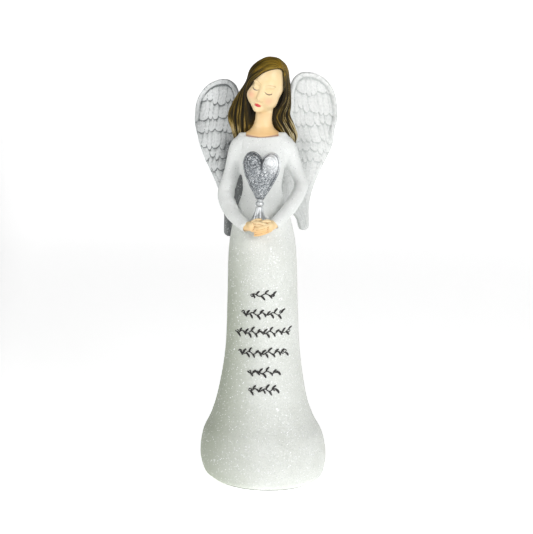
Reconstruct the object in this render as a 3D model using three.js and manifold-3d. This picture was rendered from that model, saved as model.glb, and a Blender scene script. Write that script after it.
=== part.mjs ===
// A resin angel figurine: she stands in a long flared gown, bows her head and holds a silver heart
// on a stem in both hands. Two cast wings are pinned to her back.
// Millimetres, +Z up. The figure faces -Y, so her own left side is +X and her own right is -X.
// The origin is the centre of the felt underside, which is what she stands on.
import * as THREE from "three";
import { mergeVertices } from "three/addons/utils/BufferGeometryUtils.js";
import Module from "manifold-3d";

const wasm = await Module();
wasm.setup();

// ---------------------------------------------------------------- driving dimensions
const GAP = 0.3; // clearance between two castings that are glued together
const PIN_GAP = 0.2; // radial clearance of a steel pin in its drilled hole
const FELT_THICK = 1; // the pad under the base
const SHELL_WALL = 5; // wall of the hollow gown
const POUR_RADIUS = 9; // hole in the base that the resin was poured through
const BASE_TURN = -14; // degrees that the oval hem is turned against the shoulders

// Gown profile from the hem up: [height, half width, half depth].
const GOWN = [
  [FELT_THICK, 32.3, 27.4],
  [5, 36.6, 31],
  [15, 38.8, 32.4],
  [28, 37, 29.8],
  [40, 31, 25.4],
  [55, 26.3, 22],
  [80, 22.2, 19.4],
  [110, 20.8, 18.4],
  [136, 20.1, 17.4],
  [150, 18.4, 15.6],
  [162, 15.2, 12.6],
  [174, 11.4, 10],
  [186, 12.9, 10.6],
  [195, 15, 10.6],
  [201, 14.8, 9.4],
  [204.5, 13.6, 8.2],
];
const HEM_TWIST_ENDS = 100; // the hem's turn has faded out at this height
const FELT_INSET = 1.5; // how far the pad stays inside the hem
const HEM_SHIFT = { by: 0.8, reach: 8 }; // the foot of the hem stands towards her left,
const SKIRT_SWAY = { by: -0.7, height: 46, reach: 22 }; // and the skirt above it towards her right
const CAVITY_FLOOR = FELT_THICK + 4.5;
const CAVITY_TOP = 138;

// Neck and the bare skin inside the neckline: [x, y, z, half width, half depth].
const NECK = [
  [0, 0.4, 200.5, 12, 6.6],
  [0, 0.4, 204.6, 12.4, 7.1],
  [0, 0.8, 207.2, 9.2, 6],
  [0.2, 0.8, 210.2, 6, 5],
  [0.6, 0.2, 214.5, 4.9, 4.8],
  [1.4, -1.4, 220, 5, 5],
  [2.2, -2.8, 226, 5, 5.2],
];
const NECK_PIN = { radius: 1.5, x: 0.3, y: 0.8, from: 189, to: 211 };

// Head: a skull centre and the three turns of a bowed, tilted head, in degrees.
const HEAD_AT = [3.2, -5, 233.2];
const HEAD_TILT = 18; // crown towards her left
const HEAD_BOW = 20; // face down towards the heart
const HEAD_TURN = -8; // face towards her right
const SKULL = [9.8, 11.6, 12.6]; // half axes
const HAIR_COVER = 2.1; // thickness of hair over the skull

// Hair that falls behind the shoulders: [x, y, z, half width, half thickness].
const SWEPT_LOCK = [
  [-3.5, 0.5, 236, 4, 4.5],
  [-8.5, 0.6, 231, 5, 4.8],
  [-12, 1.6, 225, 6.4, 4.8],
  [-14.2, 3.2, 218, 8.8, 4.4],
  [-14.4, 5, 211, 7, 3.8],
  [-15.6, 6.6, 205.4, 3.8, 3],
  [-17.4, 7.6, 201.6, 1.2, 1.2],
];
const CURLED_LOCK = [
  [12, -0.5, 236, 3, 4.6],
  [13.2, -0.4, 229, 2.8, 4.8],
  [12.4, 1, 221.5, 4, 4.6],
  [11.6, 3, 215, 5.4, 4.4],
  [13.8, 5.2, 209, 5.4, 4],
  [17, 7, 203.4, 3.8, 3],
  [18.2, 8, 198.6, 1.2, 1.2],
];
const BACK_FALL = [
  [4.4, 6.4, 232, 8, 4.2],
  [3.4, 8.2, 222, 9.4, 4.4],
  [1.6, 9.4, 212, 10.6, 4],
  [0.6, 11.6, 204, 10.2, 3.2],
  [0.4, 13, 198.4, 6, 1.6],
];

// Sleeves: shoulder, upper arm, elbow, forearm and cuff as [x, y, z, radius].
const RIGHT_SLEEVE = [
  [-10.6, 0.4, 202, 3.2],
  [-13.6, 0.3, 198, 5.5],
  [-16.2, 0, 190.5, 4.5],
  [-18.9, -0.6, 180, 4.3],
  [-21.3, -2.8, 170, 4.6],
  [-16.4, -11.4, 160.4, 4],
  [-8.3, -21.2, 153.8, 3.1],
];
const LEFT_SLEEVE = [
  [10.6, 0.4, 202, 3.2],
  [13.8, 0.3, 198.4, 5.5],
  [17, 0, 191.6, 4.3],
  [20, -0.6, 184, 3.8],
  [22.7, -2.8, 175.6, 3.6],
  [17, -11.4, 164.6, 3.6],
  [8.7, -21.2, 155.5, 3],
];
const SHOULDER_PEG = { radius: 2, y: 0.4, z: 195.5, inner: 8, outer: 17 };

// Hands: a palm, a wrist inside the cuff and fingers that lie across each other.
const RIGHT_PALM = { at: [-3.8, -24, 153.9], half: [4.4, 2.9, 3] };
const LEFT_PALM = { at: [5, -24, 153.5], half: [4.2, 3, 3.3] };
const FINGER_RADIUS = 1;
const FINGERS = 4;
const RIGHT_FINGERS = {
  knuckle: [-2.5, -25.5, 156.2],
  middle: [1.3, -27.4, 155.6],
  tip: [4.5, -26.6, 154.6],
  pitch: [0, 0, -1.3],
};
const LEFT_FINGERS = {
  knuckle: [4.7, -26.2, 153.6],
  middle: [0.7, -26.7, 152.4],
  tip: [-3.3, -25.6, 151.9],
  pitch: [0, 0.9, -0.7],
};

// The silver heart, its collar bead and its flared stem, on one leaning steel wire.
const HEART_AT = [0.6, -18.8, 185];
const HEART_HALF_THICK = 4;
const HEART_LEAN = 3; // degrees, top towards her left
const HEART_TIP_BACK = 5; // degrees, top towards her chest
// Half of the outline, from the notch round the lobe to the blunt tip.
const HEART_SIDE = [
  [0, 6.2],
  [4.6, 10.6],
  [9, 8.6],
  [10.6, 3.6],
  [8.6, -4],
  [5, -11],
  [2.4, -15.6],
  [0, -16],
];
const COLLAR = { at: -18.1, radius: 2.4, half: 1.8 };
const STEM = { top: -20, bottom: -28.5, topRadius: 2.2, bottomRadius: 4.2 };
const WIRE = { radius: 0.7, from: -31, to: -8 };

// Wing outline in its own plane: [outward from the root, height].
const WING_OUTLINE = [
  [0, 170],
  [0, 199],
  [7, 208],
  [13, 217],
  [13.8, 229],
  [16.4, 236.4],
  [21, 240.2],
  [25.5, 241],
  [31, 240.2],
  [36.5, 237.6],
  [40.6, 233.4],
  [43.4, 228],
  [44.7, 221.5],
  [45, 214],
  [43.6, 207.4],
  [41.8, 200.5],
  [38.6, 192.5],
  [34.4, 184.4],
  [30.4, 176],
  [27.5, 168],
  [26, 160],
  [26, 152],
  [25.8, 147.4],
  [22.8, 145.6],
  [19.4, 146.8],
  [17.2, 153],
  [12.4, 158],
  [6, 163],
];
const WING_THICK = 2.2; // between the two rounded edges
const WING_EDGE = 0.8;
const WING_ROOT = [3, 12.6]; // x and y of the root line
const WING_SWEEP = 26; // degrees back from the figure's side
const WING_CUP = 2.2; // how far the middle of a wing bows back
const WING_WIDTH = 45;
const LEFT_WING_RISE = 2; // her left wing sits higher,
const RIGHT_WING_RISE = -2; // and her right wing lower
const LEFT_WING_SPREAD = 1.6; // how far the lower half of her left wing stands out
const WING_SPREAD_HEIGHTS = [196, 208]; // the spread fades out between these
const ROOT_PAD = { at: [6, 12, 183], half: [5.6, 3.6, 15] };
const WING_PIN = { radius: 1, x: 5.4, from: 3.4, to: 13.4, heights: { lower: 176, upper: 190 } };

// ---------------------------------------------------------------- materials
const paint = (color, roughness, metalness = 0) =>
  new THREE.MeshStandardMaterial({ color, roughness, metalness });
const GLITTER_WHITE = paint(0xe9ece8, 0.6);
const SKIN = paint(0xf3cf9a, 0.5);
const HAIR = paint(0x5a4420, 0.5);
const SILVER = paint(0xa9acb2, 0.35, 0.8);
const WING_PAINT = paint(0xd6dad9, 0.5);
const RAW_RESIN = paint(0xd9d4c6, 0.7);
const FELT = paint(0xcfcfc9, 0.95);
const STEEL = paint(0x9a9da1, 0.3, 1);

// ---------------------------------------------------------------- helpers
const rad = THREE.MathUtils.degToRad;

// A closed three.js geometry as a manifold-3d solid.
function solid(geometry) {
  const bare = geometry.clone();
  bare.deleteAttribute("normal");
  bare.deleteAttribute("uv");
  const merged = mergeVertices(bare, 1e-4);
  return new wasm.Manifold(
    new wasm.Mesh({
      numProp: 3,
      vertProperties: merged.attributes.position.array,
      triVerts: new Uint32Array(merged.index.array),
    }),
  );
}

// A manifold-3d solid as a three.js geometry.
function geometryOf(body) {
  const mesh = body.getMesh();
  const geometry = new THREE.BufferGeometry();
  geometry.setAttribute("position", new THREE.BufferAttribute(mesh.vertProperties, 3));
  geometry.setIndex(new THREE.BufferAttribute(mesh.triVerts, 1));
  geometry.computeVertexNormals();
  return geometry;
}

const join = (first, ...others) => others.reduce((body, other) => body.add(other), first);
const cut = (body, ...tools) => tools.reduce((left, tool) => left.subtract(tool), body);

// Moves every vertex of a geometry to the Vector3 that place(x, y, z) returns.
function warp(geometry, place) {
  const position = geometry.getAttribute("position");
  for (let i = 0; i < position.count; i++) {
    const to = place(position.getX(i), position.getY(i), position.getZ(i));
    position.setXYZ(i, to.x, to.y, to.z);
  }
  return geometry;
}

// A cylinder of radius 1 from z = 0 to z = 1, with flat ends.
function unitCylinder(sides, steps) {
  return new THREE.CylinderGeometry(1, 1, 1, sides, steps).rotateX(Math.PI / 2).translate(0, 0, 0.5);
}

// A curve through [x, y, z, half width, half depth] stations, with the section's size along it.
function limb(stations, { sides = 14, steps = 12, grow = 0, side = [1, 0, 0] } = {}) {
  const path = new THREE.CatmullRomCurve3(stations.map(([x, y, z]) => new THREE.Vector3(x, y, z)));
  const size = new THREE.CatmullRomCurve3(
    stations.map(([, , , wide, deep = wide]) => new THREE.Vector3(wide + grow, deep + grow, 0)),
  );
  const reference = new THREE.Vector3(...side);
  return solid(
    warp(unitCylinder(sides, steps), (x, y, t) => {
      const along = path.getTangent(t);
      const across = reference.clone().addScaledVector(along, -reference.dot(along)).normalize();
      const through = along.clone().cross(across);
      const half = size.getPoint(t);
      const end = t === 0 ? -grow : t === 1 ? grow : 0;
      return path
        .getPoint(t)
        .addScaledVector(across, x * half.x)
        .addScaledVector(through, y * half.y)
        .addScaledVector(along, end);
    }),
  );
}

// An ellipsoid, turned by a Matrix4 before it is put at its place.
function ball(at, half, { turn, grow = 0, sides = 18, rings = 12 } = {}) {
  const geometry = new THREE.SphereGeometry(1, sides, rings);
  geometry.scale(half[0] + grow, half[1] + grow, half[2] + grow);
  if (turn) geometry.applyMatrix4(turn);
  return solid(geometry.translate(...at));
}

// A round bar from one point to another.
function bar(from, to, radius, sides = 12) {
  const start = new THREE.Vector3(...from);
  const run = new THREE.Vector3(...to).sub(start);
  const geometry = unitCylinder(sides, 1).scale(radius, radius, run.length());
  const turn = new THREE.Quaternion().setFromUnitVectors(new THREE.Vector3(0, 0, 1), run.normalize());
  return solid(geometry.applyQuaternion(turn).translate(...start));
}

function block(low, high) {
  const size = high.map((value, i) => value - low[i]);
  const middle = high.map((value, i) => (value + low[i]) / 2);
  return solid(new THREE.BoxGeometry(...size).translate(...middle));
}

// ---------------------------------------------------------------- gown, plug and felt
const gownCurve = new THREE.CatmullRomCurve3(
  GOWN.map(([z, wide, deep]) => new THREE.Vector3(wide, deep, z)),
  false,
  "centripetal",
);

// The twist of the oval hem at a height, in radians.
function hemTurn(z) {
  return rad(BASE_TURN) * (1 - THREE.MathUtils.smoothstep(z, 20, HEM_TWIST_ENDS));
}

// The middle of the skirt at a height, as x.
function gownMiddle(z) {
  const hem = HEM_SHIFT.by * Math.exp(-((z / HEM_SHIFT.reach) ** 2));
  return hem + SKIRT_SWAY.by * Math.exp(-(((z - SKIRT_SWAY.height) / SKIRT_SWAY.reach) ** 2));
}

// The gown's outer form, grown evenly, or shrunk by a negative amount.
function gownForm(grow = 0, sides = 36, steps = 34) {
  return solid(
    warp(unitCylinder(sides, steps), (x, y, t) => {
      const at = gownCurve.getPoint(t);
      const end = t === 0 ? -grow : t === 1 ? grow : 0;
      const turn = hemTurn(at.z);
      const across = x * (at.x + grow);
      const through = y * (at.y + grow);
      return new THREE.Vector3(
        gownMiddle(at.z) + across * Math.cos(turn) - through * Math.sin(turn),
        across * Math.sin(turn) + through * Math.cos(turn),
        at.z + end,
      );
    }),
  );
}

function gownCavity() {
  const inner = gownForm(-SHELL_WALL, 24, 22);
  const limits = block([-60, -60, CAVITY_FLOOR], [60, 60, CAVITY_TOP]);
  return inner.intersect(limits);
}

function basePlug() {
  return bar([0, 0, FELT_THICK], [0, 0, CAVITY_FLOOR], POUR_RADIUS - GAP, 24);
}

function feltPad() {
  const [, wide, deep] = GOWN[0];
  const pad = unitCylinder(36, 1).scale(wide - FELT_INSET, deep - FELT_INSET, FELT_THICK);
  return solid(pad.rotateZ(rad(BASE_TURN)).translate(gownMiddle(0), 0, 0));
}

// ---------------------------------------------------------------- sleeves and hands
function shoulderPeg(sideSign, grow = 0) {
  const { radius, y, z, inner, outer } = SHOULDER_PEG;
  return bar([sideSign * (inner - grow), y, z], [sideSign * outer, y, z], radius + grow);
}

// The wrist runs back from the palm into the cuff of its sleeve.
function wrist(sleeve, palm, grow = 0) {
  const [cuffX, cuffY, cuffZ, cuffRadius] = sleeve[sleeve.length - 1];
  const elbowSide = sleeve[sleeve.length - 2];
  const inside = [0, 1, 2].map((i) => [cuffX, cuffY, cuffZ][i] * 0.75 + elbowSide[i] * 0.25);
  const radius = cuffRadius - 1.1;
  return limb(
    [
      [...inside, radius],
      [cuffX, cuffY, cuffZ, radius],
      [...palm.at, radius],
    ],
    { sides: 10, steps: 4, grow },
  );
}

// Fingers side by side: each runs knuckle, middle, tip, and pitch is the step to the next one.
function fingers({ knuckle, middle, tip, pitch }, grow = 0) {
  const made = [];
  for (let i = 0; i < FINGERS; i++) {
    const place = (at) => at.map((value, axis) => value + i * pitch[axis]);
    made.push(
      limb(
        [
          [...place(knuckle), FINGER_RADIUS],
          [...place(middle), FINGER_RADIUS],
          [...place(tip), FINGER_RADIUS * 0.8],
        ],
        { sides: 8, steps: 3, grow, side: [0, 0, 1] },
      ),
    );
  }
  return join(...made);
}

function rightHand(grow = 0) {
  return join(
    ball(RIGHT_PALM.at, RIGHT_PALM.half, { grow, sides: 12, rings: 8 }),
    wrist(RIGHT_SLEEVE, RIGHT_PALM, grow),
    fingers(RIGHT_FINGERS, grow),
  );
}

function leftHand() {
  return join(
    ball(LEFT_PALM.at, LEFT_PALM.half, { sides: 12, rings: 8 }),
    wrist(LEFT_SLEEVE, LEFT_PALM),
    fingers(LEFT_FINGERS),
  );
}

// ---------------------------------------------------------------- head and hair
const headTurn = new THREE.Matrix4()
  .makeRotationY(rad(HEAD_TILT))
  .multiply(new THREE.Matrix4().makeRotationX(rad(HEAD_BOW)))
  .multiply(new THREE.Matrix4().makeRotationZ(rad(HEAD_TURN)));

// A place given in the head's own axes, with its face towards -Y.
function onHead(x, y, z) {
  const at = new THREE.Vector3(x, y, z).applyMatrix4(headTurn);
  return [at.x + HEAD_AT[0], at.y + HEAD_AT[1], at.z + HEAD_AT[2]];
}

function headForm(grow = 0) {
  const turn = headTurn;
  return join(
    ball(onHead(0, 0.6, 2.2), SKULL, { turn, grow, sides: 20, rings: 14 }),
    ball(onHead(0, -3.4, -4.4), [8.2, 7.4, 10], { turn, grow, sides: 18, rings: 12 }),
    ball(onHead(0, -10.6, -4.2), [1.3, 1.5, 2.6], { turn, grow, sides: 8, rings: 6 }),
    limb(NECK, { grow, sides: 16, steps: 12 }),
  );
}

function hairCrownForm(grow = 0) {
  const half = SKULL.map((value) => value + HAIR_COVER);
  const whole = ball(onHead(0, 1.2, 2.6), half, { turn: headTurn, grow, sides: 22, rings: 14 });
  const face = ball(onHead(1.4, -12.5, -5), [10.6, 9.6, 14.6], { turn: headTurn, grow: -grow });
  const nape = ball(onHead(0, -2, -13.5), [14, 12, 8], { turn: headTurn, grow: -grow });
  return cut(whole, face, nape);
}

// ---------------------------------------------------------------- heart on its stem
const heartFrame = new THREE.Matrix4()
  .makeTranslation(...HEART_AT)
  .multiply(new THREE.Matrix4().makeRotationY(rad(HEART_LEAN)))
  .multiply(new THREE.Matrix4().makeRotationX(-rad(HEART_TIP_BACK)));

function onHeart(x, y, z) {
  const at = new THREE.Vector3(x, y, z).applyMatrix4(heartFrame);
  return [at.x, at.y, at.z];
}

function heartBody() {
  const half = HEART_SIDE.map(([x, z]) => new THREE.Vector3(x, 0, z));
  const mirrored = half.slice(1, -1).reverse().map((p) => new THREE.Vector3(-p.x, 0, p.z));
  const outline = new THREE.CatmullRomCurve3([...half, ...mirrored], true);
  const sphere = new THREE.SphereGeometry(1, 32, 12).rotateX(Math.PI / 2);
  // The sphere's own poles now point along Y, and its equator becomes the outline.
  warp(sphere, (x, y, z) => {
    const reach = Math.hypot(x, z);
    const around = (Math.atan2(x, z) / (2 * Math.PI) + 1) % 1;
    const edge = outline.getPoint(around);
    return new THREE.Vector3(edge.x * reach, y * HEART_HALF_THICK, edge.z * reach);
  });
  return solid(sphere.applyMatrix4(heartFrame));
}

// A turned form round the heart's own axis: [radius, height] points from the bottom up.
function turned(profile, sides = 20) {
  const points = profile.map(([radius, z]) => new THREE.Vector2(radius, z));
  const lathe = new THREE.LatheGeometry(points, sides).rotateX(Math.PI / 2);
  return solid(lathe.applyMatrix4(heartFrame));
}

function heartCollar() {
  const { at, radius, half } = COLLAR;
  return turned([
    [0, at - half],
    [radius * 0.7, at - half],
    [radius, at - half * 0.4],
    [radius, at + half * 0.4],
    [radius * 0.7, at + half],
    [0, at + half],
  ]);
}

function heartStem(grow = 0) {
  const { top, bottom, topRadius, bottomRadius } = STEM;
  const waist = (top + bottom) / 2;
  return turned([
    [0, bottom - grow],
    [bottomRadius + grow, bottom - grow],
    [(topRadius + bottomRadius) * 0.47 + grow, waist],
    [topRadius + grow, top + grow],
    [0, top + grow],
  ]);
}

const heartWire = (grow = 0) =>
  bar(onHeart(0, 0, WIRE.from - grow), onHeart(0, 0, WIRE.to + grow), WIRE.radius + grow, 10);

// ---------------------------------------------------------------- wings and their pins
function wingSlab(spread) {
  const outline = new THREE.Shape();
  const points = WING_OUTLINE.map(([out, z]) => new THREE.Vector2(out, z));
  outline.moveTo(points[0].x, points[0].y);
  outline.splineThru([...points.slice(1), points[0]]);
  const slab = new THREE.ExtrudeGeometry(outline, {
    depth: WING_THICK,
    curveSegments: 2,
    bevelThickness: WING_EDGE,
    bevelSize: WING_EDGE,
    bevelOffset: -WING_EDGE,
    bevelSegments: 1,
  });
  const sweep = rad(WING_SWEEP);
  const [rootX, rootY] = WING_ROOT;
  return solid(
    warp(slab, (flat, z, thick) => {
      const out = flat + spread * (1 - THREE.MathUtils.smoothstep(z, ...WING_SPREAD_HEIGHTS));
      const cup = WING_CUP * Math.sin((Math.PI * THREE.MathUtils.clamp(out, 0, WING_WIDTH)) / WING_WIDTH);
      const back = WING_THICK / 2 - thick + cup;
      return new THREE.Vector3(
        rootX + out * Math.cos(sweep) - back * Math.sin(sweep),
        rootY + out * Math.sin(sweep) + back * Math.cos(sweep),
        z,
      );
    }),
  );
}

// A wing on her left side, with its lower half spread. Her right wing is mirrored from it.
function wingForm(spread) {
  const pad = ball(ROOT_PAD.at, ROOT_PAD.half, { sides: 14, rings: 10 });
  const spine = block([-20, -20, 100], [GAP, 60, 300]);
  return cut(join(wingSlab(spread), pad), spine);
}

function wingPin(height, grow = 0) {
  const { radius, x, from, to } = WING_PIN;
  return bar([x, from - grow, height], [x, to + grow, height], radius + grow, 10);
}

const mirror = (body) => body.mirror([1, 0, 0]);

// ---------------------------------------------------------------- the assembly
const figurine = new THREE.Group();

function piece(name, body, material) {
  const mesh = new THREE.Mesh(geometryOf(body), material);
  mesh.name = name;
  figurine.add(mesh);
  return body;
}

const wings = [
  { owner: "left", rise: LEFT_WING_RISE, spread: LEFT_WING_SPREAD, place: (body) => body },
  { owner: "right", rise: RIGHT_WING_RISE, spread: 0, place: mirror },
];

function pinsOf({ rise, place }, grow = 0) {
  return Object.entries(WING_PIN.heights).map(([level, z]) => [level, place(wingPin(z + rise, grow))]);
}

const neckPin = (grow = 0) => {
  const { radius, x, y, from, to } = NECK_PIN;
  return bar([x, y, from - grow], [x, y, to + grow], radius + grow);
};

const pinHoles = wings.flatMap((wing) => pinsOf(wing, PIN_GAP).map(([, hole]) => hole));
const neckSeat = limb(NECK, { grow: GAP, sides: 16, steps: 12 });
const pourHole = bar([0, 0, FELT_THICK - 1], [0, 0, CAVITY_FLOOR + 1], POUR_RADIUS, 24);
const pegHoles = [1, -1].map((sideSign) => shoulderPeg(sideSign, GAP));

piece(
  "gown_shell",
  cut(gownForm(), gownCavity(), pourHole, neckSeat, neckPin(PIN_GAP), ...pegHoles, ...pinHoles),
  GLITTER_WHITE,
);
piece("base_plug", basePlug(), RAW_RESIN);
piece("felt_pad", feltPad(), FELT);

const gownGrown = gownForm(GAP);
const stemSeat = heartStem(GAP);
const rightHandBody = cut(rightHand(), gownGrown, stemSeat, heartWire(PIN_GAP));
const leftHandBody = cut(leftHand(), rightHand(GAP), gownGrown, stemSeat, heartWire(PIN_GAP));
const sleeves = [
  { owner: "right", stations: RIGHT_SLEEVE, palm: RIGHT_PALM, sideSign: -1 },
  { owner: "left", stations: LEFT_SLEEVE, palm: LEFT_PALM, sideSign: 1 },
];
for (const { owner, stations, palm, sideSign } of sleeves) {
  const arm = cut(limb(stations, { steps: 16 }), gownGrown, neckSeat);
  const sleeve = cut(join(arm, shoulderPeg(sideSign)), wrist(stations, palm, GAP));
  piece(`${owner}_sleeve`, cut(sleeve, rightHand(GAP)), GLITTER_WHITE);
}
piece("right_hand", rightHandBody, SKIN);
piece("left_hand", leftHandBody, SKIN);

const headGrown = headForm(GAP);
piece("head_and_neck", cut(headForm(), neckPin(PIN_GAP)), SKIN);
piece("neck_pin", neckPin(), STEEL);

const armsGrown = sleeves.map(({ stations }) => limb(stations, { steps: 16, grow: GAP }));
const crownGrown = hairCrownForm(GAP);
const backFall = limb(BACK_FALL, { steps: 10 });
const backFallGrown = limb(BACK_FALL, { steps: 10, grow: GAP });
piece("hair_crown", cut(hairCrownForm(), headGrown), HAIR);
piece("hair_back_fall", cut(backFall, crownGrown, headGrown, gownGrown, ...armsGrown), HAIR);
const locks = { hair_swept_lock: SWEPT_LOCK, hair_curled_lock: CURLED_LOCK };
for (const [name, stations] of Object.entries(locks)) {
  const lock = limb(stations, { steps: 12 });
  piece(name, cut(lock, crownGrown, headGrown, gownGrown, backFallGrown, ...armsGrown), HAIR);
}

piece("heart", cut(heartBody(), heartWire(PIN_GAP)), SILVER);
piece("heart_collar", cut(heartCollar(), heartWire(PIN_GAP)), SILVER);
piece("heart_stem", cut(heartStem(), heartWire(PIN_GAP)), SILVER);
piece("heart_wire", heartWire(), STEEL);

const locksGrown = Object.values(locks).map((stations) => limb(stations, { steps: 12, grow: GAP }));
for (const wing of wings) {
  const { owner, rise, spread, place } = wing;
  const body = place(wingForm(spread).translate([0, 0, rise]));
  const holes = pinsOf(wing, PIN_GAP).map(([, hole]) => hole);
  const neighbours = [gownGrown, backFallGrown, ...locksGrown, ...armsGrown];
  piece(`${owner}_wing`, cut(body, ...neighbours, ...holes), WING_PAINT);
  for (const [level, pin] of pinsOf(wing)) piece(`${owner}_wing_pin_${level}`, pin, STEEL);
}

export default figurine;
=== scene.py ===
"""The looks of the resin angel figurine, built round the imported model.

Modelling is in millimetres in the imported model's own frame: +Z up, the figure faces -Y, her left is +X.
Organic pieces are modelled as clay, a distance field on a grid, and skinned into a mesh.
"""
import math

import bpy
import numpy as np
from mathutils import Matrix


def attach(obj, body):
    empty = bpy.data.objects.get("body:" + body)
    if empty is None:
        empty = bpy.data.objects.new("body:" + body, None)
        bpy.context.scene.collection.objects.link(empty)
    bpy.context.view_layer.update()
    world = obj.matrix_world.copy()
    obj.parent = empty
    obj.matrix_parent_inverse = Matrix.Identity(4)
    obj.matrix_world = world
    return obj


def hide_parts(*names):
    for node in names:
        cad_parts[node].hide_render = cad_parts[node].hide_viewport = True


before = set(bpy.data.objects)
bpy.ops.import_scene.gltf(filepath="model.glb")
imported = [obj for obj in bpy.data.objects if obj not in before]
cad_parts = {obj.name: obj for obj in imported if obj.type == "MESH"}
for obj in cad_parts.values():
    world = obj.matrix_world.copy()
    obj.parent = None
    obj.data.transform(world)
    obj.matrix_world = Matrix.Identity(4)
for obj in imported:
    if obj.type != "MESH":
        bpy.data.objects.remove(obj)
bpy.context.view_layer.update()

MM = 0.001
TAU = 2 * math.pi
TINY = 1e-12

# ---- shared dimensions
GOWN = [  # height, half width, half depth
    (1, 32.3, 27.4), (5, 36.6, 31), (15, 38.8, 32.4), (28, 37, 29.8), (40, 31, 25.4), (55, 26.3, 22),
    (80, 22.2, 19.4), (110, 20.8, 18.4), (136, 20.1, 17.4), (150, 18.4, 15.6),
    (162, 15.2, 12.6), (174, 11.4, 10), (186, 12.9, 10.6), (195, 15, 10.6), (201, 14.8, 9.4),
    (204.5, 13.6, 8.2),
]
HEM_TURN = math.radians(-14)
HEM_TWIST = (20, 100)  # the hem's turn fades out between these heights
HEM_SHIFT = (0.8, 8)  # how far the foot of the hem stands out, and how high that reaches
SKIRT_SWAY = (-0.7, 46, 22)  # how far the skirt leans over, at what height, and its reach

HEAD_AT = np.array([3.2, -5.0, 233.2])
HEAD_TILT, HEAD_BOW, HEAD_YAW = (math.radians(a) for a in (18, 20, -8))

NECK = [  # height, centre x, centre y, half width, half depth
    (200.5, 0, 0.4, 12, 6.6), (204.6, 0, 0.4, 12.4, 7.1), (206.4, 0, 0.7, 10.4, 6.5),
    (208.2, 0.1, 0.8, 7.8, 5.8), (210.4, 0.2, 0.7, 6, 5.1), (214, 0.5, 0.2, 5, 4.7),
    (219, 1.2, -1.2, 4.9, 4.9), (226, 2.2, -2.8, 5, 5.2),
]

RIGHT_SLEEVE = [  # x, y, z, radius
    (-10.6, 0.4, 202, 3.2), (-13.6, 0.3, 198, 5.3), (-16.2, 0, 190.5, 4.5), (-18.9, -0.6, 180, 4.3),
    (-21.3, -2.8, 170, 4.6), (-16.4, -11.4, 160.4, 4), (-8.3, -21.2, 153.8, 3.3),
]
LEFT_SLEEVE = [
    (10.6, 0.4, 202, 3.2), (13.8, 0.3, 198.4, 5.3), (17, 0, 191.6, 4.3), (20, -0.6, 184, 3.9),
    (22.7, -2.8, 175.6, 3.7), (17, -11.4, 164.6, 3.7), (8.7, -21.2, 155.5, 3.2),
]

HEART_AT = np.array([0.6, -18.8, 185.0])
HEART_LEAN, HEART_TIP_BACK = math.radians(3), math.radians(5)

WING_SWEEP = math.radians(26)
WING_ROOT = (3.0, 12.6)
WING_CUP, WING_WIDTH = 2.2, 45.0
WING_SPREAD = (196, 208)  # the spread of the lower half fades out between these heights
WING_OUTLINE = [  # outward from the root, height
    (0, 170), (0, 199), (7, 208), (13, 217), (13.8, 229), (16.4, 236.4), (21, 240.2), (25.5, 241),
    (31, 240.2), (36.5, 237.6), (40.6, 233.4), (43.4, 228), (44.7, 221.5), (45, 214), (43.6, 207.4),
    (41.8, 200.5), (38.6, 192.5), (34.4, 184.4), (30.4, 176), (27.5, 168), (26, 160), (26, 152),
    (25.8, 147.4), (22.8, 145.6), (19.4, 146.8), (17.2, 153), (12.4, 158), (6, 163),
]


# ---- small mathematics
X, Y, Z = range(3)


def turning(axis, angle):
    """The matrix of a turn about an axis."""
    u, v = (axis + 1) % 3, (axis + 2) % 3
    matrix = np.eye(3)
    matrix[u, u] = matrix[v, v] = math.cos(angle)
    matrix[u, v], matrix[v, u] = -math.sin(angle), math.sin(angle)
    return matrix


HEAD = turning(Y, HEAD_TILT) @ turning(X, HEAD_BOW) @ turning(Z, HEAD_YAW)
HEART = turning(Y, HEART_LEAN) @ turning(X, -HEART_TIP_BACK)


def on_head(*local):
    """A place in the head's own axes as a place on the figure."""
    return HEAD @ np.array(local, float) + HEAD_AT


def on_heart(points):
    return np.asarray(points) @ HEART.T + HEART_AT


def spline(points, count, closed=False):
    """Evenly numbered places along a Catmull-Rom curve through rows of numbers."""
    p = np.asarray(points, float)
    if closed:
        padded = np.vstack([p[-1], p, p[0], p[1]])
        last = len(p)
    else:
        padded = np.vstack([2 * p[0] - p[1], p, 2 * p[-1] - p[-2]])
        last = len(p) - 1
    t = np.linspace(0, last, count, endpoint=not closed)
    i = np.minimum(t.astype(int), last - 1)
    f = (t - i)[:, None]
    a, b, c, d = (padded[i + k] for k in range(4))
    curve = 2 * b + (c - a) * f + (2 * a - 5 * b + 4 * c - d) * f**2 + (3 * b - a - 3 * c + d) * f**3
    return 0.5 * curve


def ease(low, high, x):
    """0 at low, 1 at high, and smooth between them."""
    t = np.clip((x - low) / (high - low), 0, 1)
    return t * t * (3 - 2 * t)


def bump(x, centre, width):
    """1 at the centre, falling away smoothly on both sides."""
    return np.exp(-(((x - centre) / width) ** 2))


def ripple(p, size, seed, waves=9):
    """Smooth noise between about -1 and 1, with features about size across."""
    rng = np.random.default_rng(seed)
    way = rng.normal(size=(waves, p.shape[-1]))
    length = np.linalg.norm(way, axis=1, keepdims=True)
    way *= (TAU / size) * rng.uniform(0.6, 1.4, (waves, 1)) / length
    return np.sin(p @ way.T + rng.uniform(0, TAU, waves)).sum(-1) / math.sqrt(waves)


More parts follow.
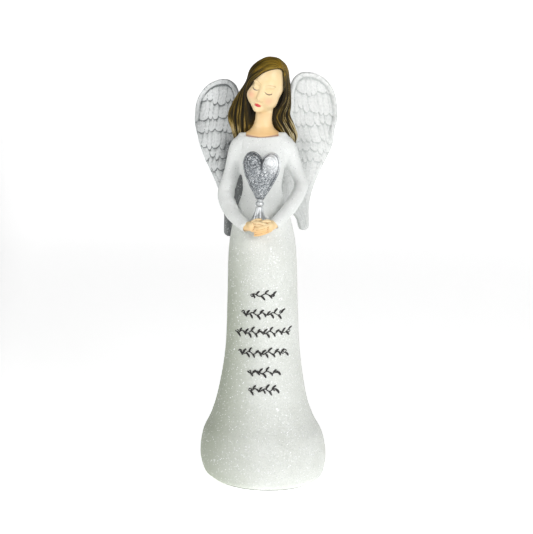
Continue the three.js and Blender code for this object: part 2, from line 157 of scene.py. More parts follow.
def outline_distance(points, x, z):
    """Signed distance to a closed polygon, negative inside, for grids of x and z."""
    x, z = np.broadcast_arrays(x, z)
    best = np.full(x.shape, np.inf)
    inside = np.zeros(x.shape, bool)
    for (ax, az), (bx, bz) in zip(points, np.roll(points, -1, 0)):
        ex, ez = bx - ax, bz - az
        wx, wz = x - ax, z - az
        t = np.clip((wx * ex + wz * ez) / (ex * ex + ez * ez + TINY), 0, 1)
        best = np.minimum(best, (wx - t * ex) ** 2 + (wz - t * ez) ** 2)
        crosses = (az > z) != (bz > z)
        inside ^= crosses & (wx < wz * ex / (ez if abs(ez) > TINY else TINY))
    return np.sqrt(best) * np.where(inside, -1, 1)


def plane(u, z):
    """Places on a grid of two directions."""
    return np.stack(np.broadcast_arrays(u, z), -1)


# ---- clay
class Clay:
    """A distance field on a regular grid: negative inside."""

    def __init__(self, low, high, step):
        self.step = step
        self.axes = [np.arange(a, b + step, step, dtype=np.float32) for a, b in zip(low, high)]
        self.field = np.full([len(a) for a in self.axes], 4.0, np.float32)

    def grids(self):
        x, y, z = self.axes
        return x[:, None, None], y[None, :, None], z[None, None, :]

    def _window(self, centre, reach):
        """The part of the grid within reach of a centre, and its lines measured from there."""
        place, lines = [], []
        for axis, line in enumerate(self.axes):
            first = np.searchsorted(line, centre[axis] - reach)
            last = np.searchsorted(line, centre[axis] + reach)
            shape = [1, 1, 1]
            shape[axis] = -1
            place.append(slice(first, last))
            lines.append(line[first:last].reshape(shape) - centre[axis])
        return tuple(place), lines

    def add(self, distance, soft=0.5, place=...):
        """Joins a solid on, blended over soft millimetres."""
        old = self.field[place]
        h = np.clip(0.5 + 0.5 * (old - distance) / soft, 0, 1)
        self.field[place] = old * (1 - h) + distance * h - soft * h * (1 - h)

    def carve(self, distance, soft=0.5, place=...):
        """Cuts a solid away, blended the same way."""
        old = self.field[place]
        h = np.clip(0.5 - 0.5 * (old + distance) / soft, 0, 1)
        self.field[place] = old * (1 - h) - distance * h + soft * h * (1 - h)

    def ball(self, centre, radii, turn=None, soft=0.5, carve=False):
        """An ellipsoid of clay whose axes are the columns of turn."""
        radii = np.broadcast_to(np.asarray(radii, float), 3)
        place, (x, y, z) = self._window(centre, radii.max() + max(1.5, soft))
        if 0 in self.field[place].shape:
            return
        if turn is not None:
            x, y, z = (turn[0, i] * x + turn[1, i] * y + turn[2, i] * z for i in range(3))
        near = np.sqrt((x / radii[0]) ** 2 + (y / radii[1]) ** 2 + (z / radii[2]) ** 2) + 1e-6
        slope = np.sqrt((x / radii[0] ** 2) ** 2 + (y / radii[1] ** 2) ** 2 + (z / radii[2] ** 2) ** 2) + 1e-6
        (self.carve if carve else self.add)(near * (near - 1) / slope, soft, place)

    def strand(self, path, radius, soft=0.4, spacing=0.6):
        """A round strand of clay along rows of x, y, z, with a radius for each."""
        path = np.asarray(path, float)
        radius = np.broadcast_to(np.asarray(radius, float), len(path))
        length = np.r_[0, np.cumsum(np.linalg.norm(np.diff(path, axis=0), axis=1))]
        count = max(2, int(length[-1] / spacing) + 1)
        s = np.linspace(0, length[-1], count)
        spots = np.stack([np.interp(s, length, path[:, i]) for i in range(3)], 1)
        for spot, size in zip(spots, np.interp(s, length, radius)):
            place, (x, y, z) = self._window(spot, size + 1.4)
            if 0 in self.field[place].shape:
                continue
            self.add(np.sqrt(x * x + y * y + z * z) - size, soft, place)

    def skin(self, relax_rounds=1):
        """The surface where the field is zero, as points in millimetres and quads."""
        field = np.pad(self.field, 1, constant_values=self.step)
        cells = np.array(field.shape) - 1
        faces, spots = [], []
        for axis in range(3):
            low = np.take(field, range(field.shape[axis] - 1), axis)
            high = np.take(field, range(1, field.shape[axis]), axis)
            index = np.argwhere((low < 0) != (high < 0))
            u, v = (axis + 1) % 3, (axis + 2) % 3
            across = index[:, [u, v]]
            index = index[((across > 0) & (across < cells[[u, v]])).all(1)]
            a, b = low[tuple(index.T)], high[tuple(index.T)]
            point = index.astype(float)
            point[:, axis] += a / (a - b)
            corner = []
            for du, dv in ((-1, -1), (0, -1), (0, 0), (-1, 0)):
                cell = index.copy()
                cell[:, u] += du
                cell[:, v] += dv
                corner.append(np.ravel_multi_index(cell.T, cells))
            quad = np.stack(corner, 1)
            faces.append(np.where((a < 0)[:, None], quad, quad[:, ::-1]))
            spots.append(np.repeat(point, 4, 0))
        faces, spots = np.concatenate(faces), np.concatenate(spots)
        where = np.unique(faces, return_inverse=True)[1]
        count = np.bincount(where)
        points = totals(where, spots, len(count)) / count[:, None]
        points = (points - 1) * self.step + np.array([a[0] for a in self.axes])
        points, quads = largest_part(points, where.reshape(faces.shape))
        return relax(points, quads, relax_rounds), quads

    def line_at(self, points, axis):
        """The number of the grid line next to each point along an axis."""
        line = self.axes[axis]
        return np.clip(((points[:, axis] - line[0]) / self.step).round().astype(int), 0, len(line) - 1)


def largest_part(points, quads):
    """Drops every crumb that isn't joined to the largest connected part."""
    label = np.arange(len(points))
    settled = False
    while not settled:
        lower = label.copy()
        np.minimum.at(lower, quads.ravel(), np.repeat(label[quads].min(1), 4))
        lower = lower[lower]
        settled = (lower == label).all()
        label = lower
    keep = label == np.bincount(label).argmax()
    renumber = np.cumsum(keep) - 1
    return points[keep], renumber[quads[keep[quads[:, 0]]]]


def totals(index, values, count):
    """Adds up the rows of values that share an index, from 0 to count - 1."""
    return np.stack([np.bincount(index, column, count) for column in values.T], 1)


def relax(points, quads, rounds):
    """Pulls each point half way to the middle of its neighbours, again and again."""
    pairs = np.concatenate([quads[:, [i, (i + 1) % 4]] for i in range(4)])
    pairs = np.concatenate([pairs, pairs[:, ::-1]])
    count = np.bincount(pairs[:, 0], minlength=len(points))[:, None]
    for _ in range(rounds):
        middle = totals(pairs[:, 0], points[pairs[:, 1]], len(points)) / count
        points = points * 0.5 + middle * 0.5
    return points


def normals_of(points, quads):
    a, b, c, d = (points[quads[:, i]] for i in range(4))
    out = totals(quads.ravel(), np.repeat(np.cross(c - a, d - b), 4, 0), len(points))
    return out / (np.linalg.norm(out, axis=1, keepdims=True) + TINY)


def raised(points, quads, height):
    """Moves each point outwards along its normal."""
    return points + normals_of(points, quads) * height[:, None]


def hollows(points, quads, rounds):
    """How far each point lies below its smoothed surroundings, in millimetres."""
    return ((relax(points, quads, rounds) - points) * normals_of(points, quads)).sum(1)


TURNED_COLUMNS = 96


def turned_rings(radius, height):
    """Rings round +Z: rows of radius, one number or one for each column, and of height."""
    around = np.linspace(0, TAU, TURNED_COLUMNS, endpoint=False)
    x, y, z = np.broadcast_arrays(radius * np.cos(around), radius * np.sin(around), height)
    return np.stack([x, y, z], -1)


def tube_quads(rows, columns):
    """Quads between rows of points that close round."""
    i = np.arange(rows - 1)[:, None] * columns
    j = np.arange(columns)[None, :]
    k = (j + 1) % columns
    return np.stack([i + j, i + k, i + columns + k, i + columns + j], -1).reshape(-1, 4)


def loft(rings, cap_end=True):
    """Quads over a stack of closed rings, an array of rings x columns x 3, with fans on its ends."""
    rows, columns = rings.shape[:2]
    points = rings.reshape(-1, 3)
    caps = []
    for row in (0, rows - 1) if cap_end else (0,):
        points = np.vstack([points, rings[row].mean(0)])
        j = np.arange(columns) + row * columns
        k = np.roll(j, -1)
        hub = np.full(columns, len(points) - 1)
        caps.append(np.stack([j, k, hub] if row else [k, j, hub], -1))
    return points, tube_quads(rows, columns), np.concatenate(caps)


# ---- pieces
NO_TRIANGLES = np.zeros((0, 3), int)


def add_piece(name, points, quads, material, slot, replaces=(), triangles=NO_TRIANGLES, **marks):
    """Makes a Blender object from millimetre points, with one float attribute per mark."""
    mesh = bpy.data.meshes.new(name)
    mesh.vertices.add(len(points))
    mesh.vertices.foreach_set("co", (np.asarray(points) * MM).astype(np.float32).ravel())
    corners = np.concatenate([quads.ravel(), triangles.ravel()]).astype(np.int32)
    mesh.loops.add(len(corners))
    mesh.loops.foreach_set("vertex_index", corners)
    sizes = np.r_[np.full(len(quads), 4), np.full(len(triangles), 3)]
    mesh.polygons.add(len(sizes))
    mesh.polygons.foreach_set("loop_start", np.r_[0, np.cumsum(sizes)[:-1]].astype(np.int32))
    mesh.update(calc_edges=True)
    mesh.polygons.foreach_set("use_smooth", np.ones(len(sizes), bool))
    for mark, values in marks.items():
        layer = mesh.attributes.new(mark, "FLOAT", "POINT")
        layer.data.foreach_set("value", np.asarray(values, np.float32))
    mesh.validate()
    piece = bpy.data.objects.new(name, mesh)
    bpy.context.scene.collection.objects.link(piece)
    piece.data.materials.append(material)
    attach(piece, "root")
    if replaces:
        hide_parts(*replaces)
    return piece


# ---- materials
class Paint:
    """A material's node tree, built one call per node."""

    def __init__(self, name):
        self.material = bpy.data.materials.new(name)
        self.material.use_nodes = True
        self.tree = self.material.node_tree
        self.tree.nodes.clear()
        self.output = self.tree.nodes.new("ShaderNodeOutputMaterial")
        self.place = self.node("ShaderNodeTexCoord").outputs["Object"]

    def node(self, kind, sockets=None, **settings):
        """Adds a node, with each socket set to a value or linked to another node's."""
        made = self.tree.nodes.new(kind)
        for key, value in settings.items():
            setattr(made, key, value)
        for key, value in (sockets or {}).items():
            socket = made.inputs[key]
            if isinstance(value, bpy.types.NodeSocket):
                self.tree.links.new(value, socket)
            else:
                socket.default_value = value
        return made

    def mark(self, name):
        """The value of one of the mesh's marks."""
        return self.node("ShaderNodeAttribute", attribute_name=name).outputs["Fac"]

    def noise(self, size_mm, detail=3.0, stretch=(1, 1, 1), rough=0.5, at=None):
        at = at or self.place
        if stretch != (1, 1, 1):
            at = self.vector("MULTIPLY", {0: at, 1: stretch})
        sockets = {"Vector": at, "Scale": 1 / (size_mm * MM), "Detail": detail, "Roughness": rough}
        return self.node("ShaderNodeTexNoise", sockets).outputs["Fac"]

    def flakes(self, size_mm):
        """Random colour and value for each flake."""
        cells = self.node("ShaderNodeTexVoronoi", {"Vector": self.place, "Scale": 1 / (size_mm * MM)})
        colour = cells.outputs["Color"]
        return colour, self.node("ShaderNodeSeparateColor", {0: colour}).outputs[0]

    def math(self, operation, *values, clamp=False):
        sockets = dict(enumerate(values))
        return self.node("ShaderNodeMath", sockets, operation=operation, use_clamp=clamp).outputs[0]

    def times(self, *values, clamp=False):
        return self.math("MULTIPLY", *values, clamp=clamp)

    def vector(self, operation, sockets):
        return self.node("ShaderNodeVectorMath", sockets, operation=operation).outputs[0]

    def ramp(self, value, low, high, out_low=0.0, out_high=1.0):
        sockets = {"Value": value, "From Min": low, "From Max": high, "To Min": out_low, "To Max": out_high}
        return self.node("ShaderNodeMapRange", sockets).outputs[0]

    def mix(self, factor, a, b):
        """Colour a where the factor is 0 and colour b where it is 1."""
        a, b = ((*colour, 1) if isinstance(colour, tuple) else colour for colour in (a, b))
        return self.node("ShaderNodeMix", {0: factor, 6: a, 7: b}, data_type="RGBA").outputs[2]

    def cloudy(self, cloud, a, b):
        """Two colours that drift into each other with a noise."""
        return self.mix(self.ramp(cloud, 0.3, 0.7), a, b)

    def coats(self, base, *coats):
        """Coats of where and colour over a base, first coat first."""
        for where, colour in coats:
            base = self.mix(where, base, colour)
        return base

    def bump(self, height, depth_mm):
        sockets = {"Height": height, "Distance": depth_mm * MM, "Strength": 1.0}
        return self.node("ShaderNodeBump", sockets).outputs[0]

    def scatter_normal(self, colour, strength, normal=None):
        """Leans the normal a different way on every flake."""
        lean = self.vector("SUBTRACT", {0: colour, 1: (0.5, 0.5, 0.5)})
        lean = self.vector("SCALE", {0: lean, "Scale": strength})
        base = normal or self.node("ShaderNodeNewGeometry").outputs["Normal"]
        return self.vector("NORMALIZE", {0: self.vector("ADD", {0: base, 1: lean})})

    def finish(self, **sockets):
        named = {key.replace("_", " "): value for key, value in sockets.items()}
        shader = self.node("ShaderNodeBsdfPrincipled", named)
        self.tree.links.new(shader.outputs[0], self.output.inputs[0])
        return self.material


GLITTER_GRAIN, GLITTER_DUST, WING_GRAIN, HEART_GRAIN = 0.45, 0.26, 0.34, 0.2
WAIST = (0.135, 0.165)  # heights in metres between which the gown turns whiter: partly a whiter paint, partly painted light


def glitter_white():
    """White paint under glitter, whiter above the waist partly as painted light, with painted shade in the
    hollows, painted shade tinted olive on her right side where it is marked, and painted glints on the
    sparks.
    """
    p = Paint("glitter_white")
    _, pick = p.flakes(GLITTER_GRAIN)
    dust_colour, dust = p.flakes(GLITTER_DUST)
    upper = p.ramp(p.node("ShaderNodeSeparateXYZ", {0: p.place}).outputs[2], *WAIST)
    spark = p.ramp(p.math("SUBTRACT", pick, p.times(upper, 0.015)), 0.955, 0.965)
    base = p.coats(
        p.cloudy(p.noise(16, 4), (0.69, 0.71, 0.665), (0.76, 0.78, 0.745)),
        (p.ramp(p.noise(1.1, 4), 0.25, 0.5, 0.35, 0.0), (0.50, 0.54, 0.49)),
        (p.ramp(dust, 0.0, 0.35, 0.45, 0.0), (0.44, 0.47, 0.45)),
        # Painted shade in the hollows.
        (p.ramp(p.mark("hollow"), 0.03, 0.5), (0.24, 0.27, 0.23)),
        # Whiter above the waist: partly a whiter paint, partly painted light on the upper body.
        (p.times(upper, 0.7), (0.80, 0.815, 0.81)),
        # Painted shade, tinted olive, where it is marked: her right side, low on the skirt.
        (p.times(p.mark("wash"), 0.86), (0.345, 0.38, 0.29)),
        # Sparks lifted near white: partly the glitter's own white, partly painted glints.
        (spark, (0.93, 0.94, 0.95)),
    )
    return p.finish(
        Base_Color=base, Roughness=p.ramp(pick, 0.8, 1, 0.72, 0.25), Metallic=p.times(spark, 0.4),
        Normal=p.scatter_normal(dust_colour, 0.35, p.bump(p.noise(0.55, 3), 0.16)),
        Specular_IOR_Level=0.35,
    )


def skin_paint():
    p = Paint("skin_paint")
    cloud = p.noise(6, 3)
    base = p.coats(
        p.cloudy(cloud, (0.82, 0.61, 0.32), (0.85, 0.68, 0.41)),
        # Warm painted shade under the jaw, at the foot of the neck and low on the hands.
        (p.mark("warmth"), (0.84, 0.50, 0.20)),
        # Painted shade in the hollows and creases.
        (p.ramp(p.mark("hollow"), 0.03, 0.3, 0, 0.85), (0.46, 0.20, 0.06)),
        (p.mark("blush"), (0.86, 0.36, 0.24)),
        (p.mark("brow"), (0.42, 0.22, 0.09)),
        (p.mark("rim"), (0.36, 0.21, 0.18)),
        (p.mark("lips"), (0.62, 0.05, 0.055)),
        (p.mark("lashes"), (0.05, 0.025, 0.02)),
    )
    return p.finish(
        Base_Color=base, Roughness=p.ramp(cloud, 0, 1, 0.36, 0.5), Coat_Weight=0.15, Coat_Roughness=0.3,
        Normal=p.bump(p.noise(0.5, 3, (1, 1, 0.4)), 0.03),
    )


def hair_paint():
    """Dark paint dry-brushed golden on the ridges, with streaks that run along the strands, painted
    highlights where marked and near-black painted shade beside the face.
    """
    p = Paint("hair_paint")
    fibres = p.node("ShaderNodeCombineXYZ", {0: p.mark("across"), 1: p.mark("along")}).outputs[0]
    streak = p.noise(0.9, 4, (1, 0.10, 1), 0.6, fibres)
    fine = p.noise(0.4, 3, (1, 0.08, 1), 0.6, fibres)
    ridge = p.math("ADD", p.ramp(p.mark("hollow"), 0.15, -0.30), p.ramp(streak, 0.3, 0.7, -0.42, 0.42))
    ridge = p.math("SUBTRACT", ridge, p.times(p.mark("groove"), 0.75))
    # Painted highlight on the crown towards her left, and lighter gold low on the outer locks.
    ridge = p.math("ADD", ridge, p.times(p.mark("sunlit"), 0.38))
    gold = p.mix(p.ramp(p.noise(7, 3), 0.35, 0.65), (0.30, 0.205, 0.036), (0.40, 0.240, 0.026))
    base = p.coats(
        p.mix(p.ramp(ridge, 0.05, 0.45), (0.007, 0.005, 0.001), (0.080, 0.052, 0.007)),
        (p.ramp(ridge, 0.45, 0.85), gold),
        (p.ramp(fine, 0.55, 0.35, 0, 0.45), (0.030, 0.020, 0.005)),
        # Beige on the ridges: dry-brushing low on the outer locks, and a painted highlight on her left side.
        (p.times(p.mark("dusty"), p.ramp(ridge, 0.50, 1.0), clamp=True), (0.50, 0.46, 0.32)),
        # Near-black painted shade beside the face and neck.
        (p.mark("gloom"), (0.008, 0.006, 0.003)),
    )
    return p.finish(
        Base_Color=base, Roughness=p.ramp(streak, 0, 1, 0.42, 0.55), Normal=p.bump(fine, 0.10),
        Specular_IOR_Level=0.13,
    )


def wing_paint(name, wash_strength, light, dark, shade):
    """Pearly white with painted shade in the hollows and under the feathers' edges, more painted shade where
    it is marked, and painted glints on some flakes.
    """
    p = Paint(name)
    # Painted shade in the hollows and under the feathers' edges.
    wash = p.math("ADD", p.ramp(p.mark("hollow"), -0.01, 0.16), p.mark("wash"))
    wash = p.times(wash, p.ramp(p.noise(7, 4), 0.3, 0.7, 0.55, 1.1), clamp=True)
    colour, pick = p.flakes(WING_GRAIN)
    base = p.coats(
        p.mix(p.ramp(p.noise(1.4, 4), 0.3, 0.75), light, tuple(c * 0.86 for c in light)),
        (p.times(wash, wash_strength, clamp=True), dark),
        # More painted shade where it is marked.
        (p.times(p.mark("shade"), shade, clamp=True), tuple(c * 0.6 for c in dark)),
        # Bright flakes: partly the glitter's own white, partly painted glints.
        (p.ramp(pick, 0.95, 0.975, 0, 0.5), (0.95, 0.96, 0.97)),
    )
    return p.finish(
        Base_Color=base, Roughness=p.ramp(pick, 0, 1, 0.5, 0.28), Coat_Weight=0.3, Coat_Roughness=0.25,
        Normal=p.scatter_normal(colour, 0.22, p.bump(p.noise(0.6, 3), 0.1)),
    )


def silver_glitter():
    """Dark and bright flakes with painted glints on the brightest, smoother and with a painted highlight
    where it is marked, and painted shade in the hollows and cut lines.
    """
    p = Paint("silver_glitter")
    colour, pick = p.flakes(WING_GRAIN)
    _, fine = p.flakes(HEART_GRAIN)
    value = p.math("ADD", p.times(pick, 0.5), p.times(fine, 0.5))
    base = p.coats(
        p.mix(p.ramp(value, 0.25, 0.65), (0.05, 0.06, 0.07), (0.34, 0.365, 0.38)),
        # Bright flakes: partly the silver's own sparkle, partly painted glints.
        (p.ramp(value, 0.72, 0.80), (0.95, 0.97, 0.99)),
        # Painted highlight, bright and smooth, where it is marked.
        (p.times(p.mark("polish"), 0.9), p.cloudy(p.noise(2.0, 4), (0.78, 0.80, 0.81), (0.97, 0.98, 0.99))),
        # Painted shade in the hollows and cut lines.
        (p.ramp(p.mark("hollow"), 0.03, 0.26, 0, 0.85), (0.05, 0.055, 0.065)),
    )
    lean = p.ramp(p.mark("polish"), 0, 1, 0.6, 0.2)
    return p.finish(
        Base_Color=base, Roughness=p.ramp(fine, 0, 1, 0.6, 0.35), Normal=p.scatter_normal(colour, lean),
        Metallic=0.35,
    )


def silver_paint():
    p = Paint("silver_paint")
    cloud = p.noise(1.5, 4, (1, 1, 0.3))
    base = p.coats(
        p.cloudy(cloud, (0.38, 0.40, 0.41), (0.72, 0.74, 0.75)),
        # Painted shade in the hollows: the flutes and round the bead.
        (p.ramp(p.mark("hollow"), 0.008, 0.09), (0.05, 0.055, 0.06)),
    )
    return p.finish(
        Base_Color=base, Roughness=p.ramp(cloud, 0, 1, 0.22, 0.4), Metallic=0.6,
        Normal=p.bump(p.noise(0.7, 3), 0.05),
    )


def ink_paint():
    p = Paint("ink_paint")
    cloud = p.noise(0.9, 3)
    base = p.mix(p.ramp(cloud, 0.35, 0.7), (0.006, 0.005, 0.005), (0.022, 0.019, 0.017))
    return p.finish(Base_Color=base, Roughness=p.ramp(cloud, 0, 1, 0.35, 0.6), Normal=p.bump(cloud, 0.03))


def plain_paint(name, light, dark, size_mm, depth_mm, rough, metallic=0.0, stretch=(1, 1, 1)):
    p = Paint(name)
    cloud = p.noise(size_mm, 5, stretch)
    return p.finish(
        Base_Color=p.cloudy(cloud, dark, light), Metallic=metallic, Normal=p.bump(cloud, depth_mm),
        Roughness=p.ramp(cloud, 0.2, 0.8, rough + 0.08, rough - 0.08),
    )


GLITTER = glitter_white()
SKIN = skin_paint()
HAIR = hair_paint()
SILVER_GLITTER = silver_glitter()
SILVER = silver_paint()
INK = ink_paint()

# ---- gown
GOWN_PROFILE = spline(GOWN, 900)
GOWN_COLUMNS = 240
NECK_HEIGHT = 204.5
LIP = ((0.25, -0.28), (0.6, -0.36), (0.95, -0.2), (1.1, 0.3), (1.1, 2.2))  # inward and down from the neckline
PLUG_RECESS = ((0.5, 5.6), (9, 5.6), (9, 1))  # radius and height, from the middle of the underside outward


def gown_half(z):
    """Half width and half depth of the gown at a height."""
    return tuple(np.interp(z, GOWN_PROFILE[:, 0], GOWN_PROFILE[:, i]) for i in (1, 2))


def hem_turn(z):
    """How far the gown is turned about +Z at a height."""
    return HEM_TURN * (1 - ease(*HEM_TWIST, z))


def gown_middle(z):
    """The middle of the skirt at a height, as x."""
    return HEM_SHIFT[0] * bump(z, 0, HEM_SHIFT[1]) + SKIRT_SWAY[0] * bump(z, *SKIRT_SWAY[1:])


def neckline(x, y):
    """Height of the gown's neck opening at the angle of x, y: it dips in front and lifts on the shoulders."""
    out = np.sqrt(x * x + y * y) + 1e-9
    return NECK_HEIGHT + 1.1 * (x / out) ** 2 - 0.7 * np.clip(-y / out, 0, 1) ** 2


def build_gown():
    around = np.linspace(0, TAU, GOWN_COLUMNS, endpoint=False)
    z = np.r_[1, 1.4, np.linspace(2, 204, 330)]
    wide, deep = gown_half(z)
    theta, height = np.meshgrid(around, z)
    flow = np.stack([np.cos(theta), np.sin(theta), height / 60], -1)
    soft = 0.30 * ripple(flow, 2.2, 3) * ease(8, 30, height) * (1 - ease(170, 190, height))
    low = (1 - ease(20, 90, height)) * ease(3, 10, height)
    soft += 0.35 * ripple(flow * [1, 1, 0.4], 1.1, 5) * low
    turned = hem_turn(height)
    x = np.cos(theta) * (wide[:, None] + soft)
    y = np.sin(theta) * (deep[:, None] + soft)
    lift = ease(196, 204, height) * (neckline(np.cos(theta), np.sin(theta)) - NECK_HEIGHT)
    c, s = np.cos(turned), np.sin(turned)
    rings = np.stack([gown_middle(height) + x * c - y * s, x * s + y * c, height + lift], -1)
    top = rings[-1]
    lip = [top * [1 - inset / wide[-1], 1 - inset / deep[-1], 1] - [0, 0, drop] for inset, drop in LIP]
    recess = [
        np.stack([radius * np.cos(around), radius * np.sin(around), around * 0 + up], -1)
        for radius, up in PLUG_RECESS
    ]
    points, quads, caps = loft(np.concatenate([recess, rings, lip]))
    hollow = hollows(points, quads, 3)
    # Painted shade, tinted olive: on her right side, low on the skirt and mostly in front.
    side = -points[:, 0] / gown_half(points[:, 2])[0]
    wash = ease(-0.15, 1.05, side) * ease(185, 100, points[:, 2])
    wash = wash * (0.35 + 0.65 * ease(20, 4, points[:, 1]))
    add_piece("gown", points, quads, GLITTER, "glitter_white", ["gown_shell"], caps, hollow=hollow, wash=wash)


build_gown()


# ---- sleeves
SLEEVE_GRID = 0.42
SHOULDER_BLEND = 2.4
CUFF_WALL = 0.8
FOLD_HEIGHT = 0.20
ELBOW = 4  # its place in a sleeve's list


def gown_field(x, y, z):
    wide, deep = gown_half(z)
    reach = np.sqrt((x / wide) ** 2 + (y / deep) ** 2)
    return (reach - 1) * np.minimum(wide, deep)


def build_sleeve(name, stations, node):
    """An arm of clay, blended onto the gown, with its mouth cut square and hollowed for the wrist."""
    stations = np.array(stations, float)
    path = spline(stations, 60)
    margin = path[:, 3].max() + 3
    low, high = path[:, :3].min(0) - margin, path[:, :3].max(0) + margin
    high[2] = min(high[2], 206)
    arm = Clay(low, high, SLEEVE_GRID)
    arm.strand(path[:, :3], path[:, 3], soft=0.6)
    x, y, z = arm.grids()
    limb = arm.field.copy()
    arm.add(gown_field(x, y, z), SHOULDER_BLEND)
    arm.field = np.maximum(arm.field, limb - 2.0)
    wrist = stations[-1, :3]
    way = wrist - stations[-2, :3]
    way = way / np.linalg.norm(way)
    mouth = wrist + way * 2.0
    beyond = (x - mouth[0]) * way[0] + (y - mouth[1]) * way[1] + (z - mouth[2]) * way[2]
    arm.carve(-beyond, 0.5)
    for reach in np.linspace(0.9, 3, 4):
        arm.ball(wrist + way * reach, stations[-1, 3] - CUFF_WALL, soft=0.2, carve=True)
    points, quads = arm.skin(2)
    # Folds gather inside the elbow.
    elbow = stations[ELBOW, :3]
    off = points - elbow
    side = np.sign(elbow[0])
    inside = ease(-2, 5, -off[:, 0] * side - off[:, 1] * 0.3)
    along = off @ np.array([-0.25 * side, -0.35, -0.9])
    wave = np.cos(along * 1.3 + ripple(off, 8, 11) * 0.9)
    strength = bump(along, 0, 6.0) * (0.15 + 0.85 * inside) * FOLD_HEIGHT
    points = raised(points, quads, wave * strength)
    points = raised(points, quads, 0.12 * ripple(points, 9, 21))
    hollow = hollows(points, quads, 4)
    add_piece(name, points, quads, GLITTER, "glitter_white", [node], hollow=hollow)


build_sleeve("right_sleeve_cloth", RIGHT_SLEEVE, "right_sleeve")
build_sleeve("left_sleeve_cloth", LEFT_SLEEVE, "left_sleeve")


# ---- hands
HAND_GRID = 0.2
FINGER_RADIUS, FINGER_STEPS = 0.98, 16
KNUCKLE = 5  # its place along a finger
RIGHT_WRIST = [(-11.6, -17.8, 155.6), (-8.2, -21.2, 153.9), (-4.4, -24, 154.2)]
LEFT_WRIST = [(12, -17.8, 157.2), (8.6, -21.2, 155.4), (5, -24.2, 154.2)]


def finger_rows(first, step, count):
    """Finger paths side by side: the first one's knuckle, middle joint, end joint and tip, and the step."""
    return [np.array(first) + np.array(step) * i for i in range(count)]


def build_hand(name, node, palm, palm_radii, palm_turn, wrist, fingers, thumb):
    clay = Clay((-14, -30, 146), (15, -14, 162), HAND_GRID)
    clay.ball(palm, palm_radii, turning(Z, palm_turn), 0.6)
    clay.strand(wrist, [2.2, 2.2, 2.5], 0.8)
    for number, path in enumerate(fingers):
        curve = spline(path, FINGER_STEPS)
        taper = np.interp(np.linspace(0, 1, FINGER_STEPS), [0, 0.7, 1], [1, 0.94, 0.72])
        size = (FINGER_RADIUS - 0.06 * number) * taper
        clay.strand(curve, size, 0.12, 0.3)
        clay.ball(curve[KNUCKLE], size[KNUCKLE] * 1.12, None, 0.3)
    curve = spline(thumb, 12)
    clay.strand(curve, np.linspace(1.15, 0.8, 12), 0.2, 0.3)
    x, y, z = clay.grids()
    clay.carve(gown_field(x, y, z) - 0.2, 0.3)
    points, quads = clay.skin(1)
    # The creases, deepened, get painted shade.
    hollow = 9 * hollows(points, quads, 5)
    # Warm painted shade, stronger low on the hand.
    warmth = 0.10 + 0.65 * ease(156, 150, points[:, 2])
    add_piece(name, points, quads, SKIN, "skin", [node], hollow=hollow, warmth=warmth)


def build_hands():
    build_hand(
        "right_hand_cast", "right_hand", (-3.7, -24.4, 154.0), (3.5, 2.4, 2.9), 0.45, RIGHT_WRIST,
        finger_rows(
            [(-3.4, -25.2, 156.3), (-1.0, -27.0, 156.4), (1.6, -27.8, 155.9), (4.0, -27.2, 155.2)],
            (-0.3, 0.05, -1.55), 4,
        ),
        [(-4.4, -24.6, 156.2), (-2.2, -25.2, 157.6), (0.6, -25.4, 157.9)],
    )
    build_hand(
        "left_hand_cast", "left_hand", (4.9, -24.4, 153.9), (3.3, 2.5, 3.2), -0.45, LEFT_WRIST,
        finger_rows(
            [(5.6, -25.6, 155.2), (3.2, -27.6, 154.4), (0.2, -28.2, 153.4), (-2.6, -27.0, 152.9)],
            (-0.1, 0.55, -1.3), 4,
        ),
        [(5.4, -24.8, 156.8), (3.6, -26.0, 157.2), (1.6, -26.8, 156.9)],
    )


build_hands()


# ---- head and neck
HEAD_GRID = 0.24
SKULL = [  # x, y and z in the head, radii, softness
    ((0, 0.6, 2.4), (9.8, 11.4, 12.2), 0.5),  # cranium
    ((0, -2.7, -3.9), (8.8, 8.5, 9.4), 1.5),  # face
    ((0, -6.2, -10.8), (4.4, 4.1, 3.3), 3.0),  # jaw
]
BOTH_SIDES = [  # the same, and whether it is carved away
    ((4.9, -3.0, -8.0), (3.0, 3.8, 3.2), 3.0, False),  # corner of the jaw
    ((4.5, -6.5, -5.2), (4.0, 4.0, 4.2), 2.6, False),  # cheek
    ((3.7, -11.4, 0.5), (2.6, 1.6, 1.5), 1.4, True),  # eye socket
    ((3.8, -8.4, -0.1), (2.15, 1.8, 1.55), 0.4, False),  # closed eyelid
    ((3.6, -9.0, 3.0), (3.0, 1.1, 0.8), 1.4, False),  # brow
    ((1.1, -10.8, -5.7), (0.8, 0.8, 0.8), 0.7, False),  # wing of the nose
    ((0.8, -10.6, -8.75), (1.15, 0.75, 0.45), 0.3, False),  # upper lip
    ((2.5, -10.2, -9.4), (0.4, 0.4, 0.4), 0.5, True),  # corner of the mouth
]
NOSE_BRIDGE = [((-9.4, 2.4), 0.8), ((-10.0, -0.6), 0.8), ((-11.2, -4.2), 0.9), ((-11.7, -5.4), 1.0)]
LOWER_FACE = [
    ((0, -10.45, -9.75), (1.5, 0.8, 0.55), 0.35),  # lower lip
    ((0, -9.0, -12.3), (2.4, 1.7, 1.7), 1.4),  # chin
]


